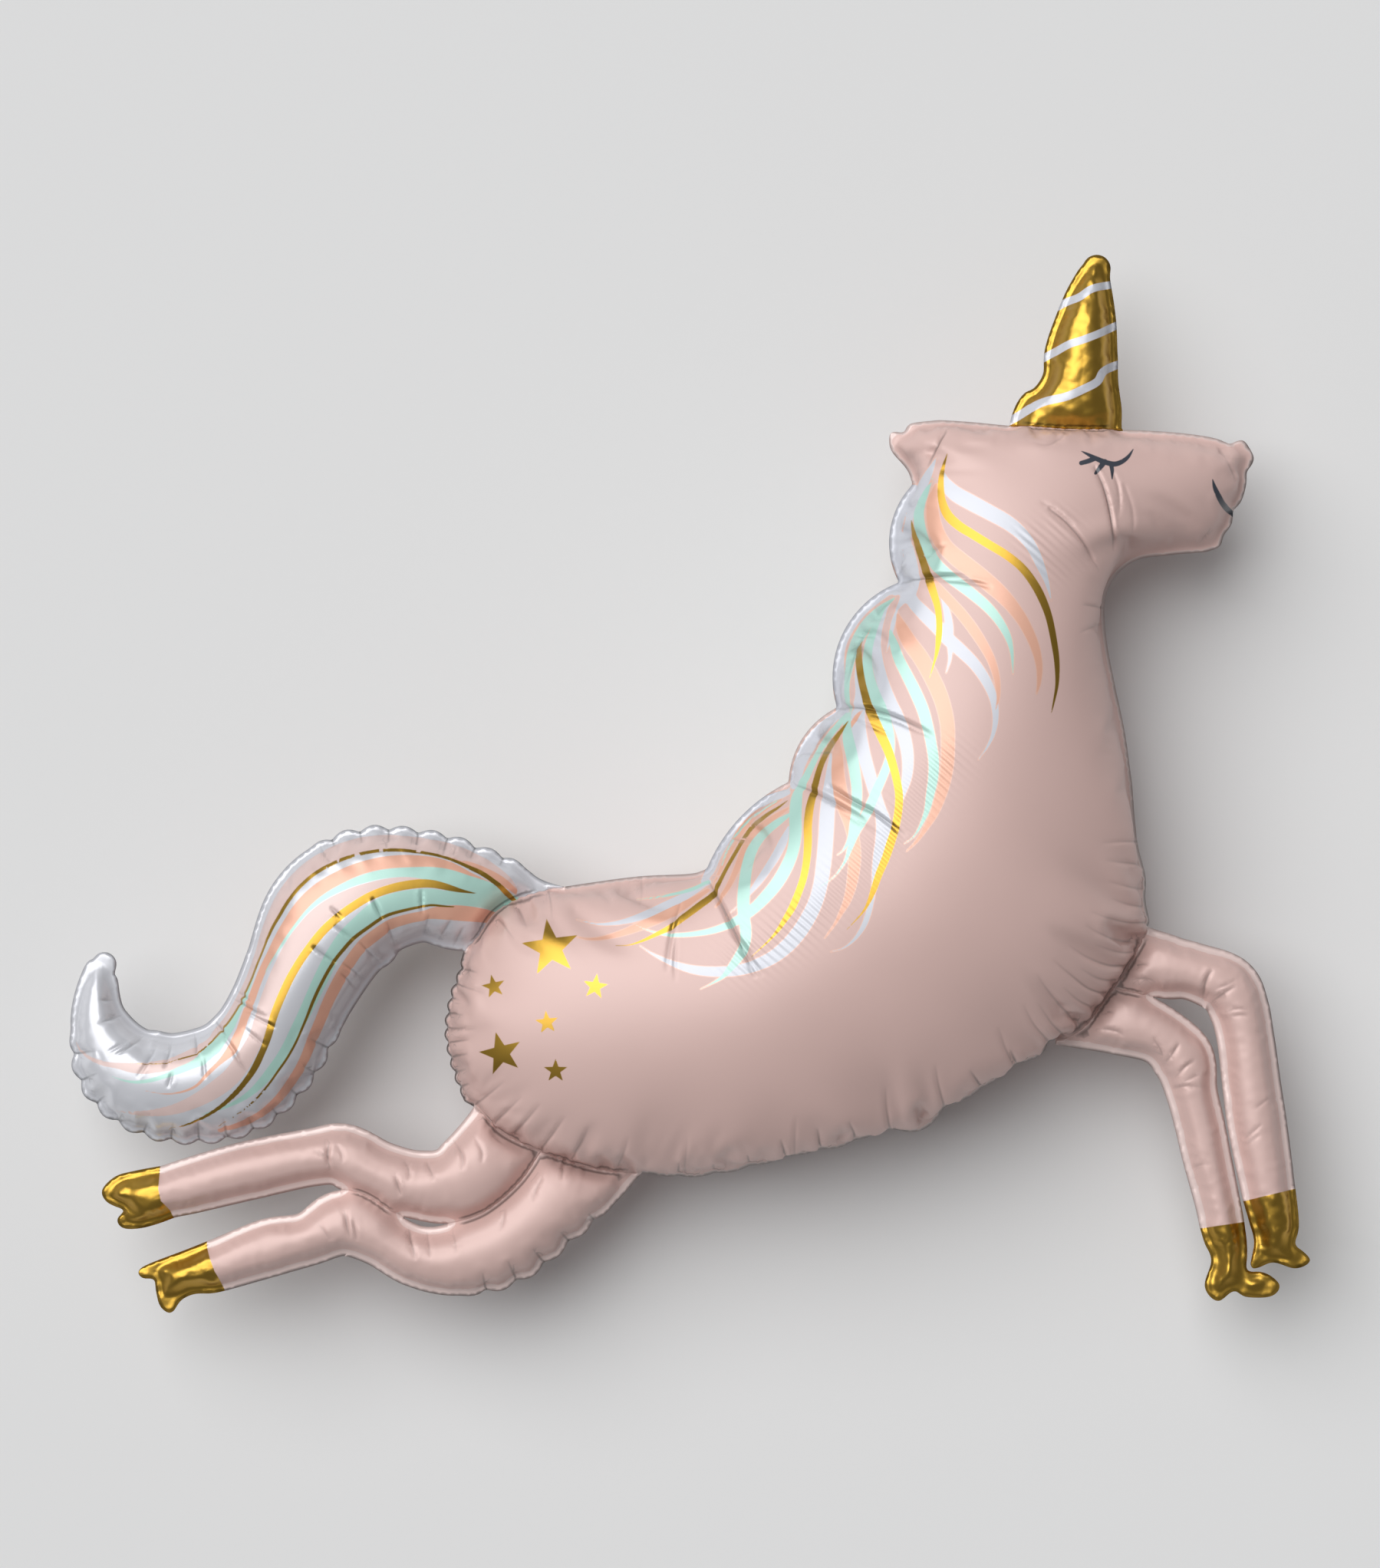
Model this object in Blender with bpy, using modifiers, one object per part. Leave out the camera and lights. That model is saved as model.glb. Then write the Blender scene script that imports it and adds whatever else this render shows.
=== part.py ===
"""A foil balloon in the shape of a leaping unicorn, full of air and lying on its side.

Two sheets of film are welded together along one outline, so the balloon is one piece. Weld lines across the
sheets part it into air chambers: the trunk with its neck and head, the tail, four legs and the horn. A flat
weld margin runs all round. X points to the nose, Y to the horn and Z up, through the balloon's thickness.
"""

import math

import bpy
import numpy as np
from mathutils import Vector
from mathutils.geometry import delaunay_2d_cdt

LENGTH = 1.10  # from the curl of the tail to the tip of the front hoof
WELD_MARGIN = 0.0066  # flat film outside the weld
SEAM_WIDTH = 0.0044  # flat film of a weld between two chambers
FILM_THICKNESS = 0.0016  # of the margin at the weld, from where it thins to an edge
LIMB_PASSAGE = 0.008  # thickness where air passes from the trunk into a limb
HORN_PASSAGE = 0.034  # the same at the horn, which is hardly pinched
TUBE_FULLNESS = 0.97  # thickness of a narrow chamber against a round section
BROAD_FULLNESS = 0.84  # the same where the trunk is broadest
REST_DEPTH = 0.014  # how far the floor presses the trunk's underside flat
OUTLINE_STEP = 0.0105  # between the points of an outline
FINE_STEP = 0.0065  # the same round small forms
RIM_ROWS = ((0, 0.0070), (0.0048, 0.0078), (0.0125, 0.0100))  # rows' depth in from a weld, and step
FIELD_STEP = 0.0205  # between the points further in
FIELD_APART = 0.0123  # the least between those and any other point
FIELD_ROOM = 0.0068  # from the last rim row to the first of those
PASSAGE_RISE = 2.0  # how steeply an air passage opens, inwards from the outline's weld
SLACK = 0.0004  # within which a point counts as on a weld
SAME_PLACE = 1e-7  # within which two points are one
SOLVED = 1e-20  # the share of the squared load that may be left unbalanced
SPAN_POINTS = 10  # of a smooth line between two of its given points
ARC_POINTS = 17
POINTS_AT_ONCE = 500  # measured against all the edges in one step
FILM_PINK = (0.66, 0.45, 0.41, 1.0)
FILM_ROUGHNESS = 0.32

SCALLOP_POINTS = 4
SCALLOP_MEAN = 0.55  # the share of a scallop's depth that lies inside the outline

# The pitch and depth of the scallops that air pulls along a weld that bulges outwards.
BELLY_FRILL = (0.034, 0.0022)
RUMP_FRILL = (0.0135, 0.0030)
TAIL_FRILL = (0.026, 0.0048)
THIGH_FRILL = (0.030, 0.0048)

# The trunk's outline, clockwise, in thousandths of LENGTH from the middle of the balloon. A stretch is one
# smooth line, and two stretches meet in a notch or a corner.
BACK = [(-184, -137), (-171, -123), (-160, -106), (-142, -94), (-115, -86), (-79, -80), (-40, -75),
        (0, -73), (13, -69)]
MANE_NOTCHES = [(13, -69), (79, 1), (118, 61), (168, 162), (179, 241)]
MANE_BULGES = [9, 10, 22.5, 13]
EAR = [(179, 241), (174.5, 253), (162.5, 267), (160, 276), (162, 283.5), (172, 283), (177, 290), (200, 293)]
CROWN = [(200, 293), (225, 291.5), (256, 288.5), (303, 285), (350, 285), (390, 283), (420, 279),
         (435, 273.5)]
NOSE = [(435, 273.5), (445, 277), (451, 270), (454.5, 261), (448.5, 251)]
LIP = [(448.5, 251), (448, 240), (444, 227), (437.5, 220)]
CHIN = [(437.5, 220), (436.5, 209), (430, 200), (427, 191), (416, 186.5)]
THROAT = [(416, 186.5), (386, 184), (360, 180), (342, 166), (334, 145), (335.5, 115), (342, 80),
          (350, 42), (356, 0)]
CHEST = [(356, 0), (360, -45), (367.5, -75), (367.5, -94), (371, -112)]
SHOULDER = [(371, -112), (362, -131), (348, -155), (332, -177), (318, -196), (303, -205), (289.5, -208)]
BELLY = [(289.5, -208), (283, -219), (258, -231), (232, -249.5), (205, -262)]
BELLY_LOBE = [(205, -262), (194, -276), (180, -282), (161, -279)]
FLANK = [(161, -279), (120, -293.5), (84, -300.5), (35, -313), (-5, -318), (-39, -315)]
HAUNCH = [(-39, -315), (-78, -310.5), (-117, -298), (-150, -283), (-168, -266), (-183, -257)]
RUMP = [(-183, -257), (-193, -228), (-198, -200), (-194, -172), (-187, -152), (-184, -137)]

PLAIN = (1.0, 0.0)
SMALL_FORMS = [EAR, NOSE, LIP, CHIN]
STRETCHES = [(EAR, PLAIN), (CROWN, PLAIN), (NOSE, PLAIN), (LIP, PLAIN), (CHIN, PLAIN), (THROAT, PLAIN),
             (CHEST, PLAIN), (SHOULDER, PLAIN), (BELLY, BELLY_FRILL), (BELLY_LOBE, PLAIN),
             (FLANK, BELLY_FRILL), (HAUNCH, PLAIN), (RUMP, RUMP_FRILL)]

# A limb's middle line, from its root in the trunk to its end, with half its width at each point. Its end
# is round, or a hoof whose outline runs from the limb's left side to its right.
TAIL = [(-96, -108, 22), (-128, -104, 28), (-155, -97, 38), (-184, -92, 43.5), (-212, -84, 44.5),
        (-247, -86, 51.5), (-272, -97, 56.5), (-293, -116, 56), (-313, -155, 49), (-329, -188, 46.5),
        (-347, -217, 47), (-375, -239, 47.3), (-422, -244.5, 43.5), (-459.5, -226, 38),
        (-477.5, -190, 23.5), (-477, -156, 15), (-473, -146, 10)]
FAR_HIND_LEG = [(-122, -258, 46), (-151, -292, 38), (-189, -322, 32), (-220, -324, 28), (-251, -315, 26.5),
                (-280, -300.5, 26), (-304, -301.5, 23.5), (-357, -312.5, 24), (-401, -324, 22.8),
                (-421, -329.3, 21.5)]
FAR_HIND_HOOF = [(-430, -355.5), (-444, -359), (-458, -359), (-463, -352), (-457, -344.5), (-464, -341.5),
                 (-472, -337), (-475, -328), (-464, -317), (-448, -312.5)]
NEAR_HIND_LEG = [(-62, -281, 38), (-85, -310, 37.5), (-115, -344, 32), (-151, -373, 31.5),
                 (-190, -384, 29.5), (-222, -381.5, 25), (-252, -366, 23.5), (-280, -355, 27),
                 (-309, -367.7, 22), (-340, -374.7, 23.8), (-380, -388.5, 21.5)]
NEAR_HIND_HOOF = [(-386, -411.5), (-400, -412), (-411, -417), (-419, -427.5), (-428, -422), (-431.5, -409),
                  (-433, -400), (-442, -399.5), (-446, -394), (-438, -388), (-408, -376.5)]
FAR_FRONT_LEG = [(340, -136, 28), (384, -148, 26), (404, -151.5, 23.5), (432, -163, 25.5),
                 (442, -181, 24.5), (447.5, -205, 23.3), (453, -247, 23.8), (457.8, -280, 24),
                 (466.5, -331.5, 21.8)]
FAR_FRONT_HOOF = [(490, -345), (490.5, -360), (487.5, -372), (494, -377.5), (500, -385.5), (488, -391.5),
                  (470, -386.5), (458, -391), (451.5, -389.5), (454.5, -370), (450.5, -354)]
NEAR_FRONT_LEG = [(306, -176, 37), (348, -191, 29), (380, -204.5, 24), (397.5, -223, 25.4),
                  (404.3, -250, 21), (410.8, -276, 20.3), (416, -300, 19.8), (425, -338, 18.4),
                  (428.3, -354, 18.2)]
NEAR_FRONT_HOOF = [(448.5, -368), (449, -380), (449, -393), (460, -394), (469, -398), (475.5, -406),
                   (468, -414), (448, -414.5), (438, -409.5), (425, -418), (414.5, -406), (420, -385),
                   (414.5, -371)]
HORN = [(303, 268, 48), (305.5, 290, 46.5), (311.5, 308, 37.5), (314.5, 327, 30.5), (315, 346, 29.7),
        (318.5, 370, 25.5), (321.5, 391, 20.2), (324.5, 406, 15), (327.5, 415, 11.5)]

# Each limb with its hoof, the frills of its left and right side, each on a share of the side counted from
# the root, and the height of the air's way into it.
NO_FRILL = ((0, 0), PLAIN)
LIMBS = [
    (TAIL, None, ((0.36, 0.90), TAIL_FRILL), ((0.08, 0.46), TAIL_FRILL), LIMB_PASSAGE),
    (NEAR_HIND_LEG, NEAR_HIND_HOOF, ((0.10, 0.50), THIGH_FRILL), NO_FRILL, LIMB_PASSAGE),
    (FAR_HIND_LEG, FAR_HIND_HOOF, NO_FRILL, NO_FRILL, LIMB_PASSAGE),
    (FAR_FRONT_LEG, FAR_FRONT_HOOF, NO_FRILL, NO_FRILL, LIMB_PASSAGE),
    (NEAR_FRONT_LEG, NEAR_FRONT_HOOF, NO_FRILL, NO_FRILL, LIMB_PASSAGE),
    (HORN, None, NO_FRILL, NO_FRILL, HORN_PASSAGE),
]


def in_metres(points):
    """Thousandths of LENGTH as metres."""
    return np.asarray(points, float) * (LENGTH / 1000)


def smooth_line(points, per_span=SPAN_POINTS):
    """A Catmull-Rom curve through some points, from the first to the last."""
    points = np.asarray(points, float)
    padded = np.vstack([2 * points[0] - points[1], points, 2 * points[-1] - points[-2]])
    t = np.linspace(0, 1, per_span, endpoint=False)[:, None]
    spans = []
    for a, b, c, d in zip(padded, padded[1:], padded[2:], padded[3:]):
        bend = 2 * a - 5 * b + 4 * c - d
        twist = 3 * b - a - 3 * c + d
        spans.append((2 * b + (c - a) * t + bend * t**2 + twist * t**3) / 2)
    return np.vstack(spans + [points[-1:]])


def arc(start, end, bulge):
    """A circular arc that stands out by bulge to the left of the straight line from start to end."""
    start, end = np.array(start, float), np.array(end, float)
    half = np.linalg.norm(end - start) / 2
    along = (end - start) / (2 * half)
    left = np.array([-along[1], along[0]])
    radius = (half**2 + bulge**2) / (2 * bulge)
    turn = math.asin(half / radius)
    angles = np.linspace(-turn, turn, ARC_POINTS)
    centre = (start + end) / 2 + left * (bulge - radius)
    return centre + radius * (np.outer(np.sin(angles), along) + np.outer(np.cos(angles), left))


def lengths_along(line):
    """The distance from a line's first point to each of its points."""
    return np.concatenate([[0], np.cumsum(np.linalg.norm(np.diff(line[:, :2], axis=0), axis=1))])


def left_of(line):
    """The unit vector to the left of a line at each of its points."""
    heading = np.gradient(line[:, :2], axis=0)
    heading /= np.linalg.norm(heading, axis=1)[:, None]
    return np.column_stack([-heading[:, 1], heading[:, 0]])


def even_steps(start, end, step):
    """Places from just after a start to an end, about a step apart."""
    if end - start < SLACK:
        return []
    return list(np.linspace(start, end, max(1, round((end - start) / step)) + 1)[1:])


def spaced(line, step=OUTLINE_STEP, frill=PLAIN, stretch=(0, 1)):
    """A line's points set evenly, with scallops on its left between two shares of its length."""
    along = lengths_along(line)
    pitch, depth = frill
    start, end = stretch[0] * along[-1], stretch[1] * along[-1]
    count = round((end - start) / pitch) if depth else 0
    if count:
        frilled = even_steps(start, end, (end - start) / (SCALLOP_POINTS * count))
        places = even_steps(0, start, step) + frilled + even_steps(end, along[-1], step)
    else:
        places = even_steps(0, along[-1], step)
    places = np.array([0.0] + places)
    points = np.column_stack([np.interp(places, along, column) for column in line[:, :2].T])
    if count:
        wave = np.abs(np.sin(np.pi * (places - start) * count / (end - start))) - SCALLOP_MEAN
        fade = np.clip(np.minimum(places - start, end - places) / pitch, 0, 1)
        points += left_of(points) * (wave * fade * depth)[:, None]
    return points


def trunk_outline():
    """The closed outline of the trunk, neck and head."""
    lines = [spaced(in_metres(smooth_line(BACK)))]
    for start, end, bulge in zip(MANE_NOTCHES, MANE_NOTCHES[1:], MANE_BULGES):
        lines.append(spaced(in_metres(arc(start, end, bulge))))
    for points, frill in STRETCHES:
        step = FINE_STEP if points in SMALL_FORMS else OUTLINE_STEP
        lines.append(spaced(in_metres(smooth_line(points)), step, frill))
    return np.vstack([line[:-1] for line in lines])


def round_tip(end, heading, left):
    """A half circle over the end of a limb, from its left edge to its right."""
    angles = np.linspace(0, math.pi, ARC_POINTS)[1:-1]
    return end[:2] + end[2] * (np.outer(np.cos(angles), left) + np.outer(np.sin(angles), heading))


def limb_outline(spine, hoof, left_frill, right_frill):
    """The closed outline of a limb: down its left side, round its end and back up its right side."""
    middle = in_metres(smooth_line(spine))
    left = left_of(middle)
    left_side = middle[:, :2] + left * middle[:, 2:]
    right_side = middle[::-1, :2] - left[::-1] * middle[::-1, 2:]
    if hoof is None:
        tip = round_tip(middle[-1], np.array([left[-1, 1], -left[-1, 0]]), left[-1])
        tip = np.vstack([left_side[-1], tip, right_side[0]])
    else:
        tip = smooth_line(np.vstack([left_side[-1], in_metres(hoof), right_side[0]]))
    (left_span, left_form), (right_span, right_form) = left_frill, right_frill
    way_back = (1 - right_span[1], 1 - right_span[0])
    left_side = spaced(left_side, OUTLINE_STEP, left_form, left_span)
    right_side = spaced(right_side, OUTLINE_STEP, right_form, way_back)
    return np.vstack([left_side[:-1], spaced(tip, FINE_STEP)[:-1], right_side])


def inside(points, outline):
    """Which points lie within a closed outline."""
    x, y = points[:, :1], points[:, 1:2]
    x0, y0 = outline[:, 0], outline[:, 1]
    x1, y1 = np.roll(x0, -1), np.roll(y0, -1)
    rise = np.where(y1 == y0, 1.0, y1 - y0)
    crosses = (y0 > y) != (y1 > y)
    return (crosses & (x < x0 + (y - y0) * (x1 - x0) / rise)).sum(axis=1) % 2 == 1


def triangulated(points, edges):
    """The triangles of some points, with some edges kept, and the points with any crossings added."""
    edges = [(int(a), int(b)) for a, b in edges]
    found = delaunay_2d_cdt([Vector(p) for p in points], edges, [], 0, SAME_PLACE, False)
    return np.array([tuple(v) for v in found[0]]), np.array([tuple(f) for f in found[2]])


def chamber_of(corners, triangles, outlines):
    """The number of the first outline that holds each triangle, or -1 where none does."""
    centres = corners[triangles].mean(axis=1)
    chambers = np.full(len(triangles), -1)
    for number in reversed(range(len(outlines))):
        chambers[inside(centres, outlines[number])] = number
    return chambers


def borders(triangles, chambers):
    """The edges round the whole balloon, and those between two chambers with the chambers' numbers."""
    sides = {}
    for triangle, chamber in zip(triangles, chambers):
        for a, b in zip(triangle, np.roll(triangle, -1)):
            sides.setdefault((min(a, b), max(a, b)), []).append(int(chamber))
    outer, seams = [], []
    for edge, (one, *other) in sides.items():
        two = other[0] if other else -1
        if one != two:
            if min(one, two) < 0:
                outer.append(edge)
            else:
                seams.append((*edge, min(one, two), max(one, two)))
    return np.array(outer), np.array(seams)


def distance(points, starts, ends):
    """How far each point is from the nearest of some straight edges."""
    line = ends - starts
    size = np.maximum((line**2).sum(axis=1), SAME_PLACE**2)
    nearest = []
    for first in range(0, len(points), POINTS_AT_ONCE):
        away = points[first:first + POINTS_AT_ONCE, None] - starts
        share = np.clip((away * line).sum(axis=2) / size, 0, 1)
        nearest.append(np.linalg.norm(away - share[..., None] * line, axis=2).min(axis=1))
    return np.concatenate(nearest)


def lattice(low, high, step):
    """The points of a triangular lattice over a box."""
    rows = np.arange(low[1], high[1], step * math.sqrt(3) / 2)
    columns = np.arange(low[0], high[0], step)
    shift = np.arange(len(rows)) % 2 * step / 2
    x = columns + shift[:, None]
    return np.column_stack([x.ravel(), np.repeat(rows, len(columns))])


def thinned(points, apart, kept, passed=0):
    """The kept points and the others that stay apart from each other and from all but the first kept."""
    for point in points:
        if ((kept[passed:] - point)**2).sum(axis=1).min(initial=1) > apart**2:
            kept = np.vstack([kept, point])
    return kept


def beside(corners, edges, away):
    """Points on both sides of some edges, at a distance from them."""
    start, end = corners[edges[:, 0]], corners[edges[:, 1]]
    along = (end - start) / np.linalg.norm(end - start, axis=1)[:, None]
    across = np.column_stack([-along[:, 1], along[:, 0]])
    spots = [start, (start + end) / 2, end]
    return np.vstack([spot + side * away * across for spot in spots for side in (-1, 1)])


def stiffness(corners, triangles):
    """The edges of a triangulation, the weight of a stretched film on each, and each corner's area."""
    ends, weights = [], []
    area = np.zeros(len(corners))
    for turn in range(3):
        a, b, c = (corners[triangles[:, (turn + k) % 3]] for k in range(3))
        u, v = a - c, b - c
        cross = u[:, 0] * v[:, 1] - u[:, 1] * v[:, 0]
        ends.append(np.column_stack([triangles[:, turn], triangles[:, (turn + 1) % 3]]))
        weights.append((u * v).sum(axis=1) / cross / 2)
        area += np.bincount(triangles[:, turn], cross / 6, len(corners))
    return np.vstack(ends), np.concatenate(weights), area


def inflated(corners, triangles, fixed, at_fixed):
    """The half thickness that air gives each corner: the round section of a tube, where a strip is long."""
    ends, weights, area = stiffness(corners, triangles)
    free = ~fixed

    def pull(values):
        flow = weights * (values[ends[:, 0]] - values[ends[:, 1]])
        total = np.bincount(ends[:, 0], flow, len(values)) - np.bincount(ends[:, 1], flow, len(values))
        return np.where(free, total, 0)

    lift = np.where(fixed, at_fixed**2 / 2, 0)
    left = np.where(free, area, 0) - pull(lift)
    step = left.copy()
    left_size = left @ left
    solved = SOLVED * left_size
    while left_size > solved:
        pulled = pull(step)
        share = left_size / (step @ pulled)
        lift += share * step
        left -= share * pulled
        step = left + step * (left @ left) / left_size
        left_size = left @ left
    return np.sqrt(2 * np.maximum(lift, 0))


class Plan:
    """The balloon laid out flat: its chambers' outlines, the whole outline and the seams between."""

    def __init__(self):
        self.outlines = [trunk_outline()] + [limb_outline(*limb[:4]) for limb in LIMBS]
        edges, first = [], 0
        for outline in self.outlines:
            run = first + np.arange(len(outline))
            edges += list(zip(run, np.roll(run, -1)))
            first += len(outline)
        corners, triangles = triangulated(np.vstack(self.outlines), edges)
        outer, seams = borders(triangles, chamber_of(corners, triangles, self.outlines))
        used, ends = np.unique(np.vstack([outer, seams[:, :2]]), return_inverse=True)
        self.corners, self.edges = corners[used], ends.reshape(-1, 2)
        self.outer, self.seams = self.edges[:len(outer)], self.edges[len(outer):]
        self.seam_limb = seams[:, 3]

    def holds(self, points):
        """Which points lie on the balloon."""
        return np.any([inside(points, outline) for outline in self.outlines], axis=0)

    def to_edges(self, points, edges):
        """How far points are from some of the plan's edges."""
        return distance(points, self.corners[edges[:, 0]], self.corners[edges[:, 1]])

    def from_outline(self, points):
        """How far points are from the balloon's outline."""
        return self.to_edges(points, self.outer)

    def from_weld(self, points):
        """How far points are from the flat film of the nearest weld, negative on it."""
        seam = self.to_edges(points, self.seams) - SEAM_WIDTH / 2
        return np.minimum(self.from_outline(points) - WELD_MARGIN, seam)

    def passage(self, points):
        """Half the height of the air's way through a seam, at points on it; it closes at the outline."""
        heights = np.zeros(len(points))
        for number, limb in enumerate(LIMBS, start=1):
            own = self.seams[self.seam_limb == number]
            if len(own):
                heights[self.to_edges(points, own) <= SEAM_WIDTH / 2 + SLACK] = limb[4] / 2
        room = np.clip(self.from_outline(points) - WELD_MARGIN, 0, None)
        return np.minimum(heights, PASSAGE_RISE * room)


def film_points(plan):
    """The points of the film: the outline and seams, rows beside them, and a lattice further in."""
    kept = plan.corners
    for depth, apart in RIM_ROWS:
        close = np.vstack([beside(plan.corners, plan.outer, WELD_MARGIN + depth),
                           beside(plan.corners, plan.seams, SEAM_WIDTH / 2 + depth)])
        close = close[plan.holds(close) & (plan.from_weld(close) > depth - SLACK)]
        kept = thinned(close, apart, kept, len(plan.corners))
    field = lattice(kept.min(axis=0), kept.max(axis=0), FIELD_STEP)
    field = field[plan.holds(field) & (plan.from_weld(field) > RIM_ROWS[-1][0] + FIELD_ROOM)]
    return thinned(field, FIELD_APART, kept)


def triangulated_film(plan):
    """The film's points, its triangles, none of them shut into the outline, and which points are on it."""
    points = film_points(plan)
    outline = np.unique(plan.outer)
    shut = outline
    while len(shut):
        film, triangles = triangulated(points, plan.edges)
        triangles = triangles[chamber_of(film, triangles, plan.outlines) >= 0]
        rim = np.isin(np.arange(len(film)), outline)
        shut = triangles[rim[triangles].all(axis=1)]
        points = np.vstack([points, film[shut].mean(axis=1)])
    return film, triangles, rim


def half_film():
    """The film on one side of the middle plane: its points, their heights and its triangles."""
    plan = Plan()
    film, triangles, rim = triangulated_film(plan)
    welded = plan.from_weld(film) <= SLACK
    height = inflated(film, triangles, welded, np.where(welded, plan.passage(film), 0))
    broad = height / height.max()
    height *= TUBE_FULLNESS + (BROAD_FULLNESS - TUBE_FULLNESS) * broad
    margin = FILM_THICKNESS / 2 * np.clip(plan.from_outline(film) / WELD_MARGIN, 0, 1)
    return film, np.where(rim, 0, np.maximum(height, margin)), triangles


def new_collection(name):
    """A collection in the scene."""
    collection = bpy.data.collections.new(name)
    bpy.context.scene.collection.children.link(collection)
    return collection


def foil_material():
    """The balloon's satin pink film."""
    material = bpy.data.materials.new("foil_film")
    material.use_nodes = True
    shader = material.node_tree.nodes["Principled BSDF"]
    shader.inputs["Base Color"].default_value = FILM_PINK
    shader.inputs["Roughness"].default_value = FILM_ROUGHNESS
    shader.inputs["Metallic"].default_value = 0.0
    return material


def floor_cutter(middle, cutters):
    """A block whose top is the floor, as wide as the balloon."""
    size = (2 * LENGTH, 2 * LENGTH, middle)
    bpy.ops.mesh.primitive_cube_add(size=1, location=(0, 0, -middle / 2), scale=size)
    block = bpy.context.active_object
    block.name = "floor_cutter"
    bpy.ops.object.transform_apply(location=False, rotation=False, scale=True)
    for collection in list(block.users_collection):
        collection.objects.unlink(block)
    cutters.objects.link(block)
    block.hide_render = True
    block.display_type = "WIRE"
    return block


def foil_balloon(parts, cutters):
    """The whole envelope: half the film, mirrored on the middle plane and pressed flat where it rests."""
    film, height, triangles = half_film()
    centre = (film.min(axis=0) + film.max(axis=0)) / 2
    middle = height.max() - REST_DEPTH
    mesh = bpy.data.meshes.new("foil_balloon")
    corners = np.column_stack([film - centre, height])
    mesh.from_pydata(corners.tolist(), [], triangles.tolist())
    mesh.materials.append(foil_material())
    mesh.shade_smooth()
    balloon = bpy.data.objects.new("foil_balloon", mesh)
    balloon.location.z = middle
    parts.objects.link(balloon)
    mirror = balloon.modifiers.new("back_film", "MIRROR")
    mirror.use_axis = (False, False, True)
    mirror.merge_threshold = SAME_PLACE
    flat = balloon.modifiers.new("rest_flat", "BOOLEAN")
    flat.operation = "DIFFERENCE"
    flat.solver = "EXACT"
    flat.object = floor_cutter(middle, cutters)
    return balloon


def main():
    """Clears the scene and builds the balloon."""
    for old in list(bpy.data.objects):
        bpy.data.objects.remove(old, do_unlink=True)
    foil_balloon(new_collection("unicorn_foil_balloon"), new_collection("cutters"))


main()
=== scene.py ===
"""The looks of a foil balloon: a leaping unicorn of printed film, full of air, lying on a pale floor.

The film is laid out flat from named outlines and filled with air by solving the shape of a stretched
film. Then it is worked against its own slack until it wrinkles, creased where a full balloon folds, and
printed with locks of hair, stars and a sleeping face.
"""

import logging
import math
from collections.abc import Iterable, Iterator
from dataclasses import dataclass
from enum import Enum

import bpy
import numpy as np
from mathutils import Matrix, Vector
from mathutils.geometry import delaunay_2d_cdt


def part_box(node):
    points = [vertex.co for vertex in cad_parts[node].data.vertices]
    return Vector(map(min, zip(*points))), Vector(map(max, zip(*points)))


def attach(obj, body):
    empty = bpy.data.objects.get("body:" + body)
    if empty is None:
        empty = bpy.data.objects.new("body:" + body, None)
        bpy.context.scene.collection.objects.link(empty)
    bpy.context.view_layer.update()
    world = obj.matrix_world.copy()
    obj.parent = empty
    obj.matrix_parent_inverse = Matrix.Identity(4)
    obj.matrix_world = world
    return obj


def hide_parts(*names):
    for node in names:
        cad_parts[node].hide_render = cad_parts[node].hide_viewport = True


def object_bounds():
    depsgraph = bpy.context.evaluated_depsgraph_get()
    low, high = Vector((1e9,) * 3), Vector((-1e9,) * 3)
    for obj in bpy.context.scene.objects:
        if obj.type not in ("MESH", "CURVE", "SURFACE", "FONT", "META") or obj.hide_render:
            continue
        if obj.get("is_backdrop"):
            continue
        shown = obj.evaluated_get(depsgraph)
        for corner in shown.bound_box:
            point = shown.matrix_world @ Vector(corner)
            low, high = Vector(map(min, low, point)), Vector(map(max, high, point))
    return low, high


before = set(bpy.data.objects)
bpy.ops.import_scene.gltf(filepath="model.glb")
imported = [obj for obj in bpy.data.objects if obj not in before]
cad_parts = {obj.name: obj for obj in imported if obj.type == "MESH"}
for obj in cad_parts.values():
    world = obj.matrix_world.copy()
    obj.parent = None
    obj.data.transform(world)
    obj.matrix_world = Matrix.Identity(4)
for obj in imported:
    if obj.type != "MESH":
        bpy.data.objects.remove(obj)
CAD_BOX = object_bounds()

NODE = "foil_balloon"
BODY = "root"
LOG = logging.getLogger("foil_balloon")
Points = np.ndarray
Socket = bpy.types.NodeSocket


@dataclass(frozen=True)
class Sizes:
    """The sizes that the whole envelope shares, in metres."""

    length: float = 1.10
    weld_margin: float = 0.0066
    seam_width: float = 0.0044
    film: float = 0.0005
    limb_passage: float = 0.008
    horn_passage: float = 0.034
    tube_fullness: float = 0.97
    broad_fullness: float = 0.84
    rest_depth: float = 0.014
    outline_step: float = 0.0043
    rim_depths: tuple[float, ...] = (0.0, 0.0037, 0.0077, 0.0122)
    rim_step: float = 0.0043
    field_step: float = 0.0056
    close: float = 0.0003
    same_place: float = 1e-7
    tiny: float = 1e-12
    eye_height: float = 4.2
    finer_near: tuple[float, ...] = (0.0017, 0.0009)
    pucker_room: float = 0.06
    # The depth of a crease at which the shade painted in it is full.
    full_fold: float = 0.0025
    turn_under: float = 0.0075
    turn_width: float = 0.010


SIZES = Sizes()


@dataclass(frozen=True)
class Frill:
    """Scallops that the air pulls along a weld, between two shares of the weld's length."""

    pitch: float = 1.0
    depth: float = 0.0
    start: float = 0.0
    end: float = 1.0

    def turned(self) -> "Frill":
        """The same scallops, counted from the other end of the weld."""
        return Frill(self.pitch, self.depth, 1 - self.end, 1 - self.start)


PLAIN = Frill()
BELLY_FRILL = Frill(0.034, 0.0022)
RUMP_FRILL = Frill(0.0135, 0.0030)


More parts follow.
